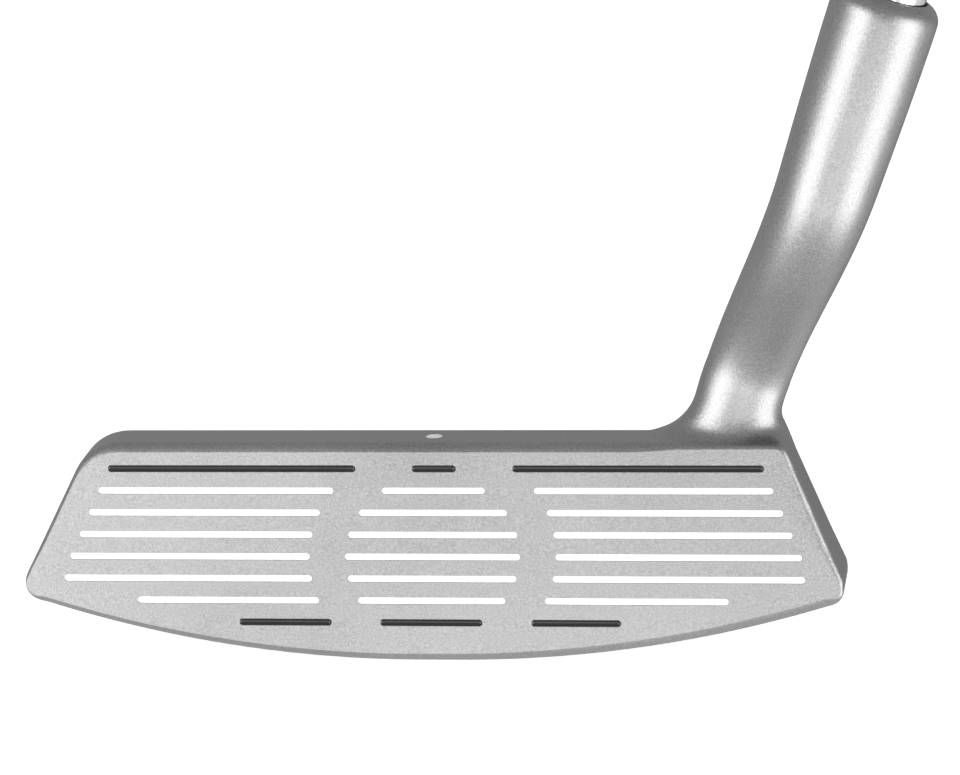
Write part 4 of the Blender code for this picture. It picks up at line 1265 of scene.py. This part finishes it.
class PUTTER_OT_shaft(bpy.types.Operator):
    """Turn the stepped shaft and plate it"""

    bl_idname = "putter.shaft"
    bl_label = "Shaft"

    def execute(self, context):
        sizes = context.scene.putter_shaft
        chrome = make_material("chrome_plate", sizes.chrome)
        finish_piece("shaft_tube", make_shaft_mesh(sizes), chrome, ["shaft"])
        return {"FINISHED"}


class PUTTER_OT_grip(bpy.types.Operator):
    """Mould the pistol grip and its cap"""

    bl_idname = "putter.grip"
    bl_label = "Grip and Cap"

    def execute(self, context):
        sizes = context.scene.putter_grip
        rubber = make_material("grip_rubber", sizes.rubber)
        plastic = make_material("cap_plastic", sizes.cap)
        finish_piece("grip_sleeve", make_grip_mesh(sizes), rubber, ["grip"])
        finish_piece("butt_cap", make_cap_mesh(), plastic, ["grip_cap"])
        return {"FINISHED"}


class PUTTER_OT_hidden(bpy.types.Operator):
    """Give the epoxy bond and the grip tape their own finish"""

    bl_idname = "putter.hidden"
    bl_label = "Bond and Tape"

    def execute(self, context):
        epoxy = make_material("cured_epoxy", EPOXY_COLOUR)
        tape = make_material("paper_tape", TAPE_COLOUR)
        for node, material in (("epoxy_bond", epoxy), ("grip_tape", tape)):
            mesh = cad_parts[node].data
            mesh.materials.clear()
            mesh.materials.append(material)
        return {"FINISHED"}


class PUTTER_OT_stage(bpy.types.Operator):
    """Lay the pale floor, hang the soft lights and set the camera"""

    bl_idname = "putter.stage"
    bl_label = "Stage"

    def execute(self, context):
        settings = context.scene.putter_stage
        make_floor(settings)
        make_world()
        make_lights(settings)
        make_camera(settings)
        return {"FINISHED"}


# ---- stage
def make_floor(settings):
    """A wide pale floor that looks evenly lit from anywhere and blocks no light from below."""
    shape = bmesh.new()
    bmesh.ops.create_grid(shape, x_segments=1, y_segments=1, size=FLOOR_HALF_SIZE)
    bmesh.ops.translate(shape, vec=(0.0, 0.0, -FLOOR_DROP), verts=shape.verts)
    floor = helper_object("floor", shape)
    material = bpy.data.materials.new("pale_floor")
    material.use_nodes = True
    tree = material.node_tree
    shader = tree.nodes["Principled BSDF"]
    shader.inputs["Base Color"].default_value = (*settings.floor_colour, 1.0)
    shader.inputs["Roughness"].default_value = FLOOR_ROUGHNESS
    shader.inputs["Specular IOR Level"].default_value = FLOOR_SPECULAR
    path = add_node(tree, "ShaderNodeLightPath")
    glow = math_node(tree, "MULTIPLY", path.outputs["Is Camera Ray"], FLOOR_GLOW)
    shader.inputs["Emission Color"].default_value = (1.0, 1.0, 1.0, 1.0)
    tree.links.new(glow, shader.inputs["Emission Strength"])
    floor.data.materials.append(material)
    floor.visible_glossy = False
    floor.visible_shadow = False


def brightness(tree, place, direction, start, stop, before, after):
    """A value that eases from one brightness to another along a direction."""
    along = add_node(tree, "ShaderNodeVectorMath", operation="DOT_PRODUCT")
    along.inputs[1].default_value = direction
    tree.links.new(place.outputs["Generated"], along.inputs[0])
    ramp = add_node(tree, "ShaderNodeMapRange", interpolation_type="SMOOTHSTEP")
    ramp.inputs["From Min"].default_value = start
    ramp.inputs["From Max"].default_value = stop
    ramp.inputs["To Min"].default_value = before
    ramp.inputs["To Max"].default_value = after
    tree.links.new(along.outputs["Value"], ramp.inputs["Value"])
    return ramp.outputs["Result"]


def make_world():
    """Grey surroundings: bright below and in front, darker above, with a dark card low behind."""
    world = bpy.data.worlds.new("studio")
    world.use_nodes = True
    bpy.context.scene.world = world
    tree = world.node_tree
    place = add_node(tree, "ShaderNodeTexCoord")
    sky = brightness(tree, place, *SKY)
    card = brightness(tree, place, *DARK_CARD)
    background = tree.nodes["Background"]
    background.inputs["Color"].default_value = (1.0, 1.0, 1.0, 1.0)
    tree.links.new(math_node(tree, "MULTIPLY", sky, card), background.inputs["Strength"])


def add_softbox(name, energy):
    """An area light that looks at the head. Azimuth is from the front, round to the heel."""
    azimuth, elevation, distance, width, height = SOFTBOXES[name]
    azimuth = math.radians(azimuth)
    elevation = math.radians(elevation)
    data = bpy.data.lights.new(name, "AREA")
    data.shape = "RECTANGLE"
    data.size = width
    data.size_y = height
    data.energy = energy
    light = bpy.data.objects.new(name, data)
    away = Vector((
        math.sin(azimuth) * math.cos(elevation),
        -math.cos(azimuth) * math.cos(elevation),
        math.sin(elevation),
    ))
    target = Vector((0.0, 0.0, BLADE_HEIGHT))
    light.location = target + away * distance
    light.rotation_euler = away.to_track_quat("Z", "Y").to_euler()
    light.visible_camera = False
    bpy.context.scene.collection.objects.link(light)


def make_lights(settings):
    add_softbox("key_softbox", settings.key_power)
    add_softbox("fill_softbox", settings.fill_power)
    add_softbox("front_panel", settings.front_power)


def make_camera(settings):
    azimuth = settings.azimuth
    elevation = settings.elevation
    forward = Vector((
        -math.sin(azimuth) * math.cos(elevation),
        math.cos(azimuth) * math.cos(elevation),
        -math.sin(elevation),
    ))
    right = Vector((math.cos(azimuth), math.sin(azimuth), 0.0))
    up = right.cross(forward)
    roll = math.atan(math.tan(azimuth) * math.sin(elevation)) + settings.roll
    turned_right = right * math.cos(roll) - up * math.sin(roll)
    turned_up = right * math.sin(roll) + up * math.cos(roll)
    middle = BLADE_HEIGHT * AIM_SHARE
    target = Vector((0.0, face_y(middle), middle)) + turned_right * AIM_ACROSS + turned_up * AIM_UP
    camera_data = bpy.data.cameras.new("camera")
    camera_data.sensor_width = SENSOR_WIDTH
    camera_data.lens = settings.lens
    camera_data.clip_end = FAR_CLIP
    camera = bpy.data.objects.new("camera", camera_data)
    axes = Matrix((turned_right, turned_up, -forward)).transposed().to_4x4()
    camera.matrix_world = Matrix.Translation(target - forward * settings.distance) @ axes
    bpy.context.scene.collection.objects.link(camera)
    bpy.context.scene.camera = camera


# ---- panel and registration
OPERATORS = (
    PUTTER_OT_head,
    PUTTER_OT_enamel,
    PUTTER_OT_shaft,
    PUTTER_OT_grip,
    PUTTER_OT_hidden,
    PUTTER_OT_stage,
)
SETTINGS = {
    "putter_head": HeadSettings,
    "putter_enamel": EnamelSettings,
    "putter_shaft": ShaftSettings,
    "putter_grip": GripSettings,
    "putter_stage": StageSettings,
}


class PUTTER_PT_panel(bpy.types.Panel):
    """Sizes, colours and build steps of the putter"""

    bl_idname = "PUTTER_PT_panel"
    bl_label = "Blade Putter"
    bl_space_type = "VIEW_3D"
    bl_region_type = "UI"
    bl_category = "Putter"

    def draw(self, context):
        for operator in OPERATORS:
            self.layout.operator(operator.bl_idname)
        for name, group in SETTINGS.items():
            box = self.layout.box()
            for label in group.__annotations__:
                box.prop(getattr(context.scene, name), label)


CLASSES = (*SETTINGS.values(), *OPERATORS, PUTTER_PT_panel)


def register():
    for item in CLASSES:
        bpy.utils.register_class(item)
    for name, group in SETTINGS.items():
        setattr(bpy.types.Scene, name, bpy.props.PointerProperty(type=group))


def unregister():
    for name in SETTINGS:
        delattr(bpy.types.Scene, name)
    for item in reversed(CLASSES):
        bpy.utils.unregister_class(item)


def main():
    register()
    bpy.ops.putter.head()
    bpy.ops.putter.enamel()
    bpy.ops.putter.shaft()
    bpy.ops.putter.grip()
    bpy.ops.putter.hidden()
    bpy.ops.putter.stage()
    bpy.context.scene.view_settings.view_transform = "Standard"


if __name__ == "__main__":
    main()
